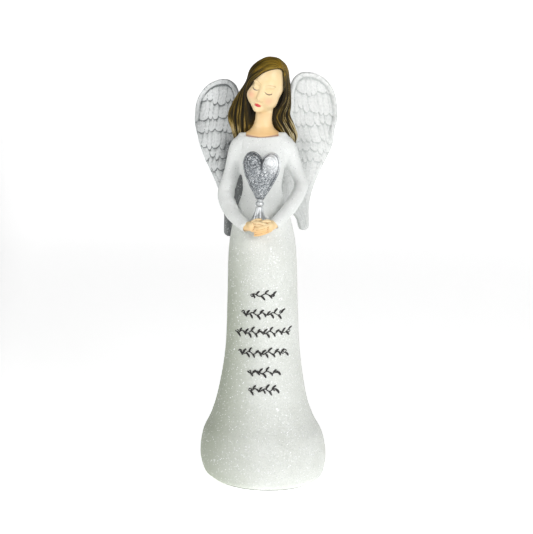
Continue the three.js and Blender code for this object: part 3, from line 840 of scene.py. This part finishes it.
def shape_head():
    clay = Clay((-15, -22, 200), (18, 12, 250), HEAD_GRID)
    for at, radii, soft in SKULL:
        clay.ball(on_head(*at), radii, HEAD, soft)
    for side in (-1, 1):
        for (out, front, up), radii, soft, carve in BOTH_SIDES:
            clay.ball(on_head(side * out, front, up), radii, HEAD, soft, carve)
    clay.strand([on_head(0, *at) for at, _ in NOSE_BRIDGE], [size for _, size in NOSE_BRIDGE], 1.3, 0.4)
    for at, radii, soft in LOWER_FACE:
        clay.ball(on_head(*at), radii, HEAD, soft)
    x, y, z = clay.grids()
    column = spline(NECK, 300)
    cx, cy, wide, deep = (np.interp(z, column[:, 0], column[:, i]) for i in range(1, 5))
    reach = np.sqrt(((x - cx) / wide) ** 2 + ((y - cy) / deep) ** 2)
    neck = np.maximum((reach - 1) * np.minimum(wide, deep), z - 228)
    clay.add(neck, 1.6)
    return clay.skin(1)


def build_head():
    points, quads = shape_head()
    lx, ly, lz = ((points - HEAD_AT) @ HEAD).T
    facing = ease(-4, -7, ly)
    lashes, brow, blush = (np.zeros(len(points)) for _ in range(3))
    for side in (-1, 1):
        u = (lx * side - 3.8) / 2.1
        lash_line = -0.75 - 0.8 * (1 - np.clip(u, -1, 1) ** 2) - 0.1 * u
        thick = 0.20 + 0.10 * u
        line = ease(thick + 0.14, thick - 0.08, np.abs(lz - lash_line)) * (np.abs(u) < 1)
        lashes = np.maximum(lashes, line * facing)
        v = (lx * side - 4.0) / 2.8
        brow_line = 3.0 + 0.85 * (1 - (v - 0.25) ** 2)
        line = ease(0.36, 0.05, np.abs(lz - brow_line)) * (np.abs(v) < 1) * (1 - 0.5 * np.abs(v))
        brow = np.maximum(brow, line * facing * 0.5)
        blush = np.maximum(blush, bump(lx * side, 5.4, 2.2) * bump(lz, -4.8, 2.2) * facing)
    mouth = np.clip(np.abs(lx) / 2.15, 0, 1)
    upper = ease(0.14, -0.10, np.abs(lz + 8.95) - 0.48 * (1 - mouth**2))
    lower = ease(0.14, -0.10, np.abs(lz + 9.72) - 0.52 * (1 - mouth**2.4))
    lips = np.clip(upper + lower, 0, 1) * facing * (mouth < 1)
    # Painted shade in the hollows, mostly kept off the front of the face.
    hollow = hollows(points, quads, 6) * (1 - 0.9 * facing)
    above = points[:, 2] - neckline(points[:, 0], points[:, 1])
    seam = ease(0.34, 0.10, above)
    add_piece(
        "head_cast", points, quads, SKIN, "skin", ["head_and_neck"], hollow=hollow,
        # Warm painted shade at the foot of the neck and under the jaw.
        warmth=0.35 * ease(210, 205, points[:, 2]) + 0.3 * ease(0.5, 4, -lz - 11),
        blush=blush * 0.55, brow=brow, lips=lips, lashes=lashes, rim=seam * 0.8,
    )


build_head()

# ---- hair
# Strand guides from the parting to the tips, x, y, z, and where each lies from the face (0) to the nape (1).
SWEPT = {
    0.0: [(11.1, -14.5, 241.7), (3.1, -16, 240), (-3.1, -14.5, 236.5), (-6.4, -11, 232.6), (-7.2, -8, 227.3),
          (-7, -3, 218.7), (-8.8, 1, 210.1), (-11.2, 4, 204.6)],
    0.2: [(11.1, -13, 243.4), (2, -15, 242.6), (-4.3, -12.6, 238.6), (-8.3, -8.5, 233.2), (-11.6, -4, 225.6),
          (-13, -1, 217.6), (-13.2, 2, 210.1), (-13.2, 6, 203.2)],
    0.4: [(10.5, -10, 246), (2, -9.5, 246.8), (-5.2, -8, 242), (-8.6, -5, 234.6), (-15.2, -1.5, 225),
          (-18.6, 1, 217), (-17.6, 3.4, 209.6), (-16.4, 7.4, 202.4)],
    0.6: [(10, -4, 247.4), (2, -2, 248), (-6, 1, 243), (-9, 3, 234), (-15.6, 4.6, 225.4), (-20, 5.4, 217),
          (-18.2, 6.6, 209), (-17.4, 8.6, 202)],
    0.8: [(9, 1, 246.6), (3, 5, 246), (-3, 7.5, 241), (-5.4, 8.8, 233), (-8.6, 9.4, 224), (-11, 9.8, 215),
          (-10, 10.4, 206), (-8, 11.6, 200)],
    1.0: [(7, 3, 246.4), (4.6, 7.4, 243.5), (3.5, 9.6, 236), (3, 10.4, 226), (2, 11, 216), (1, 12, 206),
          (0.4, 13.4, 199.4)],
}
FALLING = {
    0.0: [(11.4, -13.5, 241.7), (13.0, -11, 237), (13.2, -8.5, 231.3), (12.6, -6, 226.2), (9.4, -2, 220.4),
          (7.4, 0.5, 216), (9.2, 2, 211.4), (13.2, 4.6, 205.4)],
    0.25: [(11.6, -12, 243), (13.6, -8.5, 238), (14.2, -6, 230.2), (14.0, -2.5, 223.3), (11.6, 1.5, 216.6),
           (13.4, 4, 210.6), (17.0, 6, 205.0), (18.6, 8, 199.6)],
    0.5: [(11.8, -8, 244.6), (14.6, -4, 238), (15.2, -2.5, 230.2), (15.2, 1, 222), (15, 4, 216.5),
          (18.0, 6.5, 209.8), (19.6, 8, 204.6), (18.6, 8.6, 198.8)],
    0.75: [(10, -3, 246.8), (13.8, 2, 240), (14, 4.5, 231), (12.6, 7, 222), (12, 8.4, 213), (13.4, 9.6, 205),
           (13, 10.6, 200)],
    1.0: SWEPT[1.0],
}
FACE_OPENING = spline([  # where the hair leaves the face and the neck free, x, z
    (11.6, 241.4), (7.5, 241.3), (2, 239.6), (-2.4, 236.9), (-5.4, 233.6), (-6.8, 230.6), (-6.9, 226),
    (-6.6, 220), (-5.8, 214), (-8.2, 207.5), (-11, 200), (11, 200), (10.4, 206), (7.4, 210), (6, 214.4),
    (6.6, 218.4), (10.4, 222.6), (12.2, 227), (12.7, 232), (12.4, 238),
], 90, closed=True)
HAIR_GRID = 0.34
SWEPT_LOCKS, FALLING_LOCKS = 6, 5
HAIR_SETS = ((SWEPT, 31, SWEPT_LOCKS), (FALLING, 23, FALLING_LOCKS))  # guides, strands, locks
FINE_LINES = 96  # radians of fine lines from the face to the nape
STRAND_RADIUS = 1.45
STRAND_BACKING = 1.5  # a second strand lies this far behind each, this thick
LOCK_START = 0.12
POINTS_AT_ONCE = 4000


def fill_guides(guides, count):
    """Each strand's share of the way from the face to the nape, and its curve between the guides."""
    keys = sorted(guides)
    curves = np.stack([spline(guides[k], 40) for k in keys])
    for share in np.linspace(0, 1, count):
        j = min(int(np.searchsorted(keys, share, side="right")) - 1, len(keys) - 2)
        f = (share - keys[j]) / (keys[j + 1] - keys[j])
        yield share, curves[j] * (1 - f) + curves[j + 1] * f


def lock_gap(turns):
    """1 in the middle of the gap between two locks, 0 on the locks."""
    return (0.5 + 0.5 * np.cos(TAU * turns)) ** 3


def shape_hair():
    """The hair as a mesh, and along each point how far it is round the head and down the strand."""
    rng = np.random.default_rng(4)
    clay = Clay((-27, -20, 195), (24, 17, 251), HAIR_GRID)
    clay.ball(on_head(0, 1.2, 2.2), (11.2, 12.9, 13.6), HEAD, 0.5)
    clay.ball((8.4, -3.2, 241.4), 6.2, None, 2.0)
    spots, known = [], []
    for guides, count, locks in HAIR_SETS:
        for share, curve in fill_guides(guides, count):
            t = np.linspace(0, 1, len(curve))
            gap = lock_gap(share * locks + LOCK_START)
            thin = 1 - 0.2 * t - 0.8 * ease(0.84, 1.0, t) * rng.uniform(0.5, 0.95)
            radius = STRAND_RADIUS * thin * rng.uniform(0.9, 1.1) * (1 - 0.3 * gap)
            inward = np.stack([3 - curve[:, 0], 1 - curve[:, 1], 0 * t], 1)
            inward /= np.linalg.norm(inward, axis=1, keepdims=True) + 1e-6
            sway = np.sin(t * 8 + rng.uniform(0, 6)) * 0.3 * t
            lift = 0.3 + rng.uniform(-0.15, 0.15) + 0.3 * np.sin(t * 6 + share * 19) * t
            lift = lift + 1.15 * gap * ease(0.1, 0.5, t) + 1.2 * ease(0.25, 0, t)
            lock = curve + inward * lift[:, None] + sway[:, None] * [1, 0.4, 0]
            clay.strand(lock, radius, 0.3, 0.5)
            clay.strand(curve + inward * STRAND_BACKING, STRAND_BACKING * thin, 0.7, 0.9)
            spots.append(lock)
            known.append(np.stack([t * 0 + (2 - share if guides is FALLING else share), t], 1))
    x, y, z = clay.grids()
    opening = outline_distance(FACE_OPENING, x[:, 0, :], z[0])[:, None, :]
    clay.carve(np.maximum(opening, y - (-3.5 + 0.22 * (225 - z))), 0.5)
    clay.carve(gown_field(x, y, np.minimum(z, 204)) + (z > 205) * 9, 0.3)
    points, quads = clay.skin(1)
    crown = ease(238, 245, points[:, 2])[:, None]
    points = points * (1 - crown) + relax(points, quads, 50) * crown
    spots, known = np.concatenate(spots), np.concatenate(known)
    places = []
    for some in np.array_split(points, math.ceil(len(points) / POINTS_AT_ONCE)):
        gap = ((some[:, None, :] - spots[None]) ** 2).sum(-1)
        weight = 1 / (gap + 0.6) ** 3
        places.append(weight @ known / weight.sum(1, keepdims=True))
    return points, quads, *np.concatenate(places).T


def build_hair():
    points, quads, share, along = shape_hair()
    lower = ease(244, 228, points[:, 2])
    wander = ripple(points, 9, 8)
    lines = np.sin(share * FINE_LINES + wander * 1.4) * (0.05 + 0.11 * lower)
    points = raised(points, quads, lines)
    x, y, z = points.T
    turns = np.where(share > 1, (2 - share) * FALLING_LOCKS, share * SWEPT_LOCKS) + LOCK_START
    groove = lock_gap(turns + wander * 0.4 / TAU) * (0.15 + 0.85 * lower)
    hollow = hollows(points, quads, 6)
    # Beige dry-brushing low on the outer locks, and a painted highlight on her left side beside the face.
    dusty = ease(226, 206, z) * (0.1 + 0.5 * ease(8, 17, np.abs(x - 1)))
    dusty = np.maximum(dusty, ease(9, 13, x) * ease(238, 222, z))
    # Painted highlight on the crown towards her left, and lighter gold low on the outer locks.
    sunlit = ease(-7, 7, x) * ease(234, 244, z)
    sunlit = np.maximum(sunlit, 0.9 * ease(218, 206, z) * ease(8, 15, np.abs(x)))
    # Near-black painted shade in the hair beside the face and neck, wider on her right.
    off = outline_distance(FACE_OPENING, x, z)
    front = ease(2, -4, y)
    gloom = 0.9 * ease(np.where(x < 0, 6.0, 2.6), 0.6, off) * ease(236, 229, z) * front
    gloom = np.maximum(gloom, ease(0.8, 0.1, off) * front)
    add_piece(
        "hair_cast", points, quads, HAIR, "hair",
        ["hair_crown", "hair_swept_lock", "hair_curled_lock", "hair_back_fall"],
        hollow=hollow, dusty=dusty, gloom=gloom, groove=groove, sunlit=sunlit,
        across=share * 0.05, along=along * 0.06,
    )


build_hair()


# ---- heart, collar and stem
HEART_SIDE = [
    (0, 6.2), (1.2, 8.6), (4.8, 10.7), (8.6, 9.4), (10.6, 5.2), (10.2, 0.4), (8.2, -5), (5.4, -10.4),
    (3.2, -14), (2.2, -16),
]
HEART_GRID = 0.24
HEART_PUFF, PUFF_REACH = 4.0, 6.5  # half its thickness, and how far in from the edge it is reached
HEART_LINE, HEART_CUT = (0.26, 0.55, 0.34), (0.22, 1.1, 0.30)  # height, how far in from the edge, breadth
SCROLL_LINE, SCROLL_CUT = 0.42, 0.32  # breadths
SCROLL_AT, SCROLL_REACH = (4.8, 4.0), (3.9, 4.4)  # x and z
CLEFT = (0.4, 0.6)  # depth, breadth


def build_heart():
    """A puffed heart with a raised line round its edge, a scroll on each lobe and a cleft between them."""
    half = spline(HEART_SIDE, 60)
    outline = np.vstack([half, half[::-1][:-1] * [-1, 1]])
    clay = Clay((-13, -7, -18), (13, 7, 13), HEART_GRID)
    x, y, z = clay.grids()
    gx, gz = x[:, 0, :], z[0]
    edge = outline_distance(outline, gx, gz)
    depth = np.maximum(-edge, 0)
    thick = HEART_PUFF * np.sqrt(np.clip(1 - (1 - np.minimum(depth / PUFF_REACH, 1)) ** 2, 0, 1))
    upper = ease(-14, -9, gz)
    line = HEART_LINE[0] * bump(depth, *HEART_LINE[1:]) * upper
    cut = HEART_CUT[0] * bump(depth, *HEART_CUT[1:]) * upper
    turn = np.linspace(0, 1, 60)[:, None]
    for side in (-1, 1):
        angle = TAU * (0.50 - 0.85 * turn)
        reach = 1 - 0.5 * turn
        swirl_x = side * (SCROLL_AT[0] + SCROLL_REACH[0] * reach * np.cos(angle))
        swirl = np.hstack([swirl_x, SCROLL_AT[1] + SCROLL_REACH[1] * reach * np.sin(angle)])
        off = np.sqrt(((gx[..., None] - swirl[:, 0]) ** 2 + (gz[..., None] - swirl[:, 1]) ** 2).min(-1))
        line = line + 0.22 * bump(off, 0, SCROLL_LINE)
        cut = cut + (0.14 - 0.04 * side) * bump(off, 0.8, SCROLL_CUT)
    cut = cut + CLEFT[0] * bump(gx, 0, CLEFT[1]) * ease(-3, 3, gz) * (depth > 0)
    thick = thick + line - cut
    field = np.abs(y) - np.where(edge < 0, thick, -edge * 1.4)[:, None, :]
    clay.field = field.astype(np.float32)
    points, quads = clay.skin(1)
    groove = cut[clay.line_at(points, X), clay.line_at(points, Z)]
    # Smoother towards her left and the top, where a highlight is painted too.
    polish = ease(-1, 5, points[:, 0]) * ease(-4, 5, points[:, 2])
    grains = (ripple(points, 1.0, 31, 14) + ripple(points, 0.7, 32, 14)) * 0.05
    points = raised(points, quads, grains * (1 - 0.6 * polish))
    # The cut lines join the hollows, which get painted shade.
    marks = {"hollow": hollows(points, quads, 5) + groove, "polish": polish}
    add_piece("heart_glittered", on_heart(points), quads, SILVER_GLITTER, "silver", ["heart"], **marks)


def build_turned(name, node, profile, rows, flutes=0, depth=0.0):
    """A turned form round the heart's axis from rows of radius and height, with its flutes cut in."""
    curve = spline(profile, rows)
    around = np.linspace(0, TAU, TURNED_COLUMNS, endpoint=False)
    share = np.linspace(0, 1, rows)
    fade = ease(0, 0.12, share) * ease(1, 0.9, share)
    scale = 1 - fade[:, None] * depth * (0.5 + 0.5 * np.cos(around * flutes)) ** 3
    points, quads, caps = loft(turned_rings(curve[:, :1] * scale, curve[:, 1:]))
    hollow = hollows(points, quads, 4)
    add_piece(name, on_heart(points), quads, SILVER, "silver", [node], caps, hollow=hollow)


BEAD = [
    (1.3, -20.1), (1.8, -19.8), (2.2, -19.3), (2.4, -18.5), (2.2, -17.7), (1.7, -17.2), (1.8, -16.8),
    (2.0, -16.5), (1.8, -16.1),
]
STEM = [
    (4.3, -28.5), (4.4, -28.2), (4.1, -27), (3.3, -25), (2.6, -23), (2.25, -21.4), (2.1, -20.6), (1.6, -20.4),
]
build_heart()
build_turned("heart_bead", "heart_collar", BEAD, 40)
build_turned("heart_handle", "heart_stem", STEM, 60, flutes=9, depth=0.10)


# ---- wings
FEATHER_ROWS = [  # height of the tips at the outer edge and at the inner edge, and how round the tips are, mm
    (226.5, 228, 1.6), (215.5, 219, 2.0), (207.5, 211, 2.0), (199, 202.5, 2.2), (192.5, 196, 2.2),
    (185.5, 190, 2.6),
]
FLIGHT_ROW = (130, 130, 0)  # the long feathers below run off the wing
FEATHER_TOP = 237.0
FEATHER_WIDTH = 4.3
FLIGHT_FEATHERS = 6
MOST_FEATHERS = 24  # in one row
WING_GRID = 0.36
RIM_MIDDLE, RIM_WIDTH, RIM_HEIGHT = 1.5, 1.75, 1.2
RIM_GROOVE = 3.5  # how far in from the edge
FRONT_PLATE, BACK_PLATE = 0.75, 0.9  # from the wing's middle plane
ROOT_PAD = ((6, 12, 183), (5.6, 3.6, 15))  # the swelling that joins the wing to her back: middle, radii


def share_across(u, z):
    """How far a place lies across the wing, from 0 at the inner edge to 1 at the outer."""
    outline = spline(WING_OUTLINE, 240, closed=True)
    levels = np.arange(140, 246, 0.5)
    edges = []
    for level in levels:
        row = outline[np.abs(outline[:, 1] - level) < 1.6]
        row = row if len(row) else outline[[np.argmin(np.abs(outline[:, 1] - level))]]
        edges.append((row[:, 0].min(), row[:, 0].max()))
    kernel = np.ones(9) / 9
    smooth = [np.convolve(np.pad(edge, 4, "edge"), kernel, "valid") for edge in np.array(edges).T]
    start, stop = (np.interp(z, levels, edge) for edge in smooth)
    return (u - start) / np.maximum(stop - start, 3)


def feather_relief(u, z, share, seed):
    """Height, and painted shade under the edges and along the sides of each feather, of overlapping feather
    rows over a grid of wing places.
    """
    rng = np.random.default_rng(seed)
    height, wash = np.zeros_like(share), np.zeros_like(share)
    above = np.full_like(share, FEATHER_TOP)
    covered = np.zeros_like(share, bool)
    wander = ripple(plane(u, z), 14, seed + 40)
    for row, (outer_z, inner_z, round_mm) in enumerate([*FEATHER_ROWS, FLIGHT_ROW]):
        if row < len(FEATHER_ROWS):
            number = (u + 0.06 * (z - 205)) / FEATHER_WIDTH + 0.5 * (row % 2) + rng.uniform(-0.2, 0.2)
            number = number + 0.22 * np.sin(number * 2.1 + rng.uniform(0, 6))
        else:
            number = share * FLIGHT_FEATHERS + 0.15 * np.sin(z * 0.1)
        number = number + 0.07 * wander + 0.03 * np.sin(z * 0.9 + row * 2)
        index = np.floor(number).astype(int)
        across = (number - index) * 2 - 1
        pick = np.clip(index + 3, 0, MOST_FEATHERS - 1)

        def vary(low, high):
            return rng.uniform(low, high, MOST_FEATHERS)[pick]

        tip = inner_z + (outer_z - inner_z) * np.clip(share, 0, 1) + vary(-1.5, 1.5)
        lopsided = vary(-0.5, 0.5)
        tip = tip + round_mm * np.abs(across) ** 3 + 0.8 * lopsided * across + 0.35 * wander
        here = ~covered & (z >= tip)
        from_tip = z - tip
        under = np.maximum(above - z, 0)
        rise = np.minimum(under, 8) / (np.minimum(under, 8) + np.minimum(from_tip, 8) + 0.6)
        crown = 0.30 * (1 - across**2) + vary(-0.12, 0.12)
        quill = 0.08 * bump(across, 0, 0.10) * ease(0, 2, from_tip)
        barbs = 0.06 * np.sin(across * 9 + from_tip * 0.5)
        barbs = barbs + 0.05 * np.sin(from_tip * 2.6 + np.abs(across) * 6)
        height = np.where(here, 0.2 + 0.85 * rise + crown + quill + barbs, height)
        # Painted shade just under the feather above, along each feather's sides and at its tip.
        side_line = vary(0.1, 0.55) * bump(np.abs(across), 1, 0.10)
        dark = 1.2 * np.exp(-under / 1.0) + side_line + 0.10 * np.exp(-from_tip / 0.4)
        wash = np.where(here, dark, wash)
        above = np.where(here | covered, above, tip)
        covered |= here
    return height, np.clip(wash, 0, 1)


def wing_place(out, back):
    """Where a place in her left wing's flat plane stands: its x and y."""
    back = back + WING_CUP * np.sin(math.pi * np.clip(out, 0, WING_WIDTH) / WING_WIDTH)
    c, s = math.cos(WING_SWEEP), math.sin(WING_SWEEP)
    return WING_ROOT[0] + out * c - back * s, WING_ROOT[1] + out * s + back * c


def build_wing(name, node, mirror, rise, spread, seed, rim_from, material):
    """A feathered plate, which stands rise higher and spread wider below, with a round rim above rim_from."""
    clay = Clay((-6, -8.5, 142), (48.5, 6.5, 244), WING_GRID)
    u, w, z = clay.grids()
    gu, gz = u[:, 0, :], z[0]
    edge = outline_distance(spline(WING_OUTLINE, 220, closed=True), gu, gz)
    share = share_across(gu, gz)
    height, wash = feather_relief(gu, gz, share, seed)
    depth = np.maximum(-edge, 0)
    rim = np.clip(ease(0.35, 0.6, share) + ease(212, 222, gz), 0, 1)
    rim = rim * ease(rim_from - 14, rim_from + 4, gz)
    in_rim = ease(3.4, 2.7, depth) * rim
    flat = plane(gu, gz)
    slant = ripple(flat, 2.6, seed + 70) * 0.5 + ripple(flat, 5, seed + 71) * 0.5
    tube = RIM_HEIGHT + 0.18 * ripple(flat, 11, seed + 60) + 0.16 * slant
    tube = tube * np.sqrt(np.clip(1 - ((depth - RIM_MIDDLE) / RIM_WIDTH) ** 2, 0, 1))
    groove = bump(depth, RIM_GROOVE, 0.45) * rim
    front = FRONT_PLATE + height * (1 - in_rim) * ease(0, 1.2, depth) + tube * in_rim - 0.45 * groove
    back = BACK_PLATE + 0.8 * height * ease(0, 1.5, depth)
    clay.field = np.maximum(-w - front[:, None, :], w - back[:, None, :])
    clay.carve(-edge[:, None, :], 1.0)
    x, y = wing_place(u + spread * (1 - ease(*WING_SPREAD, z)), w)
    pad = np.sqrt(sum(((line - middle) / radius) ** 2 for line, middle, radius in zip((x, y, z), *ROOT_PAD)))
    clay.add((pad - 1) * 4.2, 1.6)
    clay.carve(gown_field(x, y, z + rise) - 0.25, 0.3)
    points, quads = clay.skin(1)
    hollow = hollows(points, quads, 6)
    streaks = in_rim * 0.45 * ease(0.1, -0.9, slant)
    # Painted shade under the feathers and in the rim's groove, with random dark streaks on the rim.
    stain = wash * (1 - in_rim) + 0.8 * groove * (0.75 + 0.25 * slant) + streaks
    stain = stain[clay.line_at(points, X), clay.line_at(points, Z)]
    out, back_off, up = points.T
    # Painted shade: where the wing shows in the gap beside the body, over her right wing's inner part by the
    # hair, and near the top of the outer edge; mostly on the front.
    shade = ease(31, 21, out) * ease(218, 198, up)
    shade = np.maximum(shade, 0.4 * mirror * ease(34, 18, out))
    shade = np.maximum(shade, 0.45 * ease(34, 44, out) * bump(up, 217, 17))
    shade = shade * (0.25 + 0.75 * ease(0.8, -0.8, back_off))
    x, y = wing_place(out + spread * (1 - ease(*WING_SPREAD, up)), back_off)
    world = np.stack([x, y, up + rise], 1)
    world[:, 0] = np.maximum(world[:, 0], 0.3)
    if mirror:
        world[:, 0] *= -1
        quads = quads[:, ::-1]
    add_piece(name, world, quads, material, "wing_paint", [node], hollow=hollow, wash=stain, shade=shade)


build_wing(
    "left_wing_cast", "left_wing", False, 2, 1.6, 5, 206,
    wing_paint("wing_paint_left", 0.58, (0.83, 0.845, 0.83), (0.34, 0.37, 0.36), 0.38),
)
# Her right wing takes the same paint with darker, stronger painted shade.
build_wing(
    "right_wing_cast", "right_wing", True, -2, 0, 9, 222,
    wing_paint("wing_paint_right", 0.95, (0.83, 0.85, 0.85), (0.10, 0.115, 0.115), 0.95),
)


# ---- painted scrollwork
def gown_front(x, z):
    """The y of the gown's front at x and z, where the hem's turn is taken into account."""
    wide, deep = gown_half(z)
    turned = hem_turn(z)
    x = x - gown_middle(z)
    c, s = np.cos(turned), np.sin(turned)
    a = (s / wide) ** 2 + (c / deep) ** 2
    b = 2 * x * c * s * (1 / wide**2 - 1 / deep**2)
    k = x * x * ((c / wide) ** 2 + (s / deep) ** 2) - 1
    return (-b - np.sqrt(np.maximum(b * b - 4 * a * k, 0))) / (2 * a)


VINES = [  # middle, height and width of each painted row
    (1.2, 114, 14), (0.8, 103, 24), (0.9, 92.2, 32), (0.9, 80.2, 28), (1.4, 69, 18), (1.4, 58.8, 16.6),
]
LEAF_SPACING = 5.6  # for three leaves
STEM_WIDTH, TENDRIL_WIDTH, LEAF_WIDTH = 0.6, 0.55, 0.36  # the leaf's is a share of its length
PAINT_SECTION = ((-1, -0.25), (-1, 0.05), (-0.5, 0.16), (0.5, 0.16), (1, 0.05), (1, -0.25))  # across, proud


def vine_strokes():
    """The strokes of six rows of leafy vines: each one's line of x and z, and its width."""
    rng = np.random.default_rng(12)
    strokes = []

    def stroke(points, width):
        strokes.append((spline(points, max(8, len(points) * 6)), width))

    def leaf(x, z, angle, size):
        way = np.array([math.cos(angle), math.sin(angle)])
        side = np.array([-way[1], way[0]])
        base = np.array([x, z])
        stroke([base, base + way * size * 0.5 + side * size * 0.1, base + way * size], size * LEAF_WIDTH)

    def tendril(x, z, size, hand, turn):
        t = np.linspace(0, 1, 9)
        angle = turn + hand * t * 4.8
        radius = size * (1 - 0.75 * t)
        cx, cz = x - size * math.cos(turn), z - size * math.sin(turn)
        stroke(np.stack([cx + radius * np.cos(angle), cz + radius * np.sin(angle)], 1), TENDRIL_WIDTH)

    for number, (middle, height, width) in enumerate(VINES):
        count = max(2, round(width / LEAF_SPACING))
        phase = number * 1.3
        xs = np.linspace(-width / 2, width / 2, count * 8 + 1)

        def stem(x):
            return 0.7 * np.sin(TAU * x * count / width + phase)

        stroke(np.stack([middle + xs, height + stem(xs)], 1), STEM_WIDTH)
        for i in range(3 * count):
            x = -width / 2 + (i + 0.5) * width / (3 * count) + rng.uniform(-0.2, 0.2)
            up = 1 if i % 2 else -1
            leaf(middle + x, height + stem(x), up * rng.uniform(0.75, 1.05), rng.uniform(2.7, 3.4))
        for end in (-1, 1):
            x = end * width / 2
            hand = end if number % 2 else -end
            tendril(middle + x, height + stem(x), 1.2, hand, math.pi if end < 0 else 0.0)
    return strokes


def build_scrollwork():
    """The rows of vines as thin raised strokes of paint on the front of the skirt."""
    points, quads, start = [], [], 0
    for line, width in vine_strokes():
        way = np.gradient(line, axis=0)
        way /= np.linalg.norm(way, axis=1, keepdims=True) + 1e-9
        side = np.stack([-way[:, 1], way[:, 0]], 1)
        t = np.linspace(0, 1, len(line))
        half = width * (0.35 + 0.65 * np.sin(math.pi * t) ** 0.6) / 2
        for off, lift in PAINT_SECTION:
            x, z = (line + side * (off * half)[:, None]).T
            points.append(np.stack([x, gown_front(x, z) - lift - 0.12, z], 1))
        rows, columns = len(line), len(PAINT_SECTION)
        rings = start + np.arange(rows * columns).reshape(columns, rows)
        body = rings.T.ravel()[tube_quads(rows, columns)[:, ::-1]]
        ends = np.array([[0, 1, 2, 3], [0, 3, 4, 5]])
        quads += [body, rings[:, 0][ends], rings[:, -1][ends[:, ::-1]]]
        start += rings.size
    add_piece("painted_scrollwork", np.concatenate(points), np.concatenate(quads), INK, "hair")


build_scrollwork()

# ---- the CAD nodes that stay
STEEL = plain_paint("drawn_steel", (0.62, 0.63, 0.64), (0.42, 0.43, 0.45), 0.6, 0.02, 0.3, 1.0, (1, 1, 0.1))
KEPT = {
    "base_plug": plain_paint("raw_resin", (0.74, 0.70, 0.60), (0.62, 0.58, 0.48), 1.5, 0.1, 0.6),
    "felt_pad": plain_paint("pressed_felt", (0.33, 0.34, 0.32), (0.17, 0.18, 0.17), 0.5, 0.3, 0.88),
}
for node, material in KEPT.items():
    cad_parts[node].data.materials[0] = material
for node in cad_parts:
    if "_pin" in node or node == "heart_wire":
        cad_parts[node].data.materials[0] = STEEL


# ---- stage, light and camera
SWEEP = [  # the floor's radius and height, in metres, from under the figurine to the top of its wall
    (0, 0), (0.4, 0), (1.2, 0), (1.8, 0), (2.3, 0.08), (2.7, 0.3), (2.9, 0.75), (2.9, 1.15),
]


def build_stage():
    curve = np.maximum(spline(SWEEP, 60), [MM, 0])
    points, quads, caps = loft(turned_rings(curve[:, :1], curve[:, 1:]), cap_end=False)
    mesh = bpy.data.meshes.new("floor")
    mesh.from_pydata(points.tolist(), [], [*quads.tolist(), *caps.tolist()])
    mesh.polygons.foreach_set("use_smooth", np.ones(len(mesh.polygons), bool))
    floor = bpy.data.objects.new("floor", mesh)
    bpy.context.scene.collection.objects.link(floor)
    p = Paint("floor_paint")
    shade = p.cloudy(p.noise(400, 2), (0.93, 0.93, 0.93), (0.95, 0.95, 0.95))
    split = p.node("ShaderNodeSeparateXYZ", {0: p.place})
    side = p.math("ADD", split.outputs[0], p.times(split.outputs[1], 0.3))
    # The floor glows, dimmer towards her right and the front, lighting the figure like a lamp.
    glow = p.ramp(side, -0.6, -0.16, 0.32, 0.74)
    p.finish(Base_Color=shade, Roughness=0.9, Emission_Color=(1, 1, 1, 1), Emission_Strength=glow)
    mesh.materials.append(p.material)


LIGHTS = [  # name, place, what it points at, size, watts, colour
    ("key", (0.66, -0.90, 0.50), (0, 0, 0.14), 0.5, 5.1, (1, 1, 1)),
    ("shoulder_fill", (-0.24, -0.29, 0.40), (0, 0, 0.2), 0.2, 0.65, (1, 1, 1)),
    ("left_fill", (-1.1, -0.1, 0.3), (0, 0, 0.13), 0.6, 0.12, (0.80, 1.0, 0.50)),
]
DAYLIGHT = 0.03


def add_light(name, at, towards, size, watts, colour):
    lamp = bpy.data.lights.new(name, "AREA")
    lamp.shape = "DISK"
    lamp.size = size
    lamp.energy = watts
    lamp.color = colour
    holder = bpy.data.objects.new(name, lamp)
    bpy.context.scene.collection.objects.link(holder)
    aim(holder, at, towards)


def aim(holder, at, towards):
    """Stands a light or camera at a place, turned to look at another."""
    back = np.array(at, float) - np.array(towards, float)
    back /= np.linalg.norm(back)
    right = np.cross([0, 0, 1], back)
    right /= np.linalg.norm(right)
    up = np.cross(back, right)
    matrix = np.eye(4)
    matrix[:3, 0], matrix[:3, 1], matrix[:3, 2], matrix[:3, 3] = right, up, back, at
    holder.matrix_world = Matrix(matrix)


CAMERA_AZIMUTH, CAMERA_DISTANCE, CAMERA_HEIGHT = math.radians(3.5), 0.56, 0.2
CAMERA_AIM = (0, 0, 0.125)
LENS_MM, SENSOR_MM, SHIFT = 64.4555, 36, (0.0075, 0.0092)


def build_camera():
    data = bpy.data.cameras.new("camera")
    data.sensor_fit = "HORIZONTAL"
    data.sensor_width = SENSOR_MM
    data.lens = LENS_MM
    data.shift_x, data.shift_y = SHIFT
    data.clip_start = 0.01
    data.dof.use_dof = False
    camera = bpy.data.objects.new("camera", data)
    bpy.context.scene.collection.objects.link(camera)
    out = np.array([math.sin(CAMERA_AZIMUTH), -math.cos(CAMERA_AZIMUTH)]) * CAMERA_DISTANCE
    aim(camera, (*out, CAMERA_HEIGHT), CAMERA_AIM)
    bpy.context.scene.camera = camera


build_stage()
for light in LIGHTS:
    add_light(*light)
world = bpy.data.worlds.new("soft_daylight")
world.use_nodes = True
background = world.node_tree.nodes["Background"]
background.inputs["Color"].default_value = (1, 1, 1, 1)
background.inputs["Strength"].default_value = DAYLIGHT
bpy.context.scene.world = world
bpy.context.scene.view_settings.view_transform = "Standard"
build_camera()
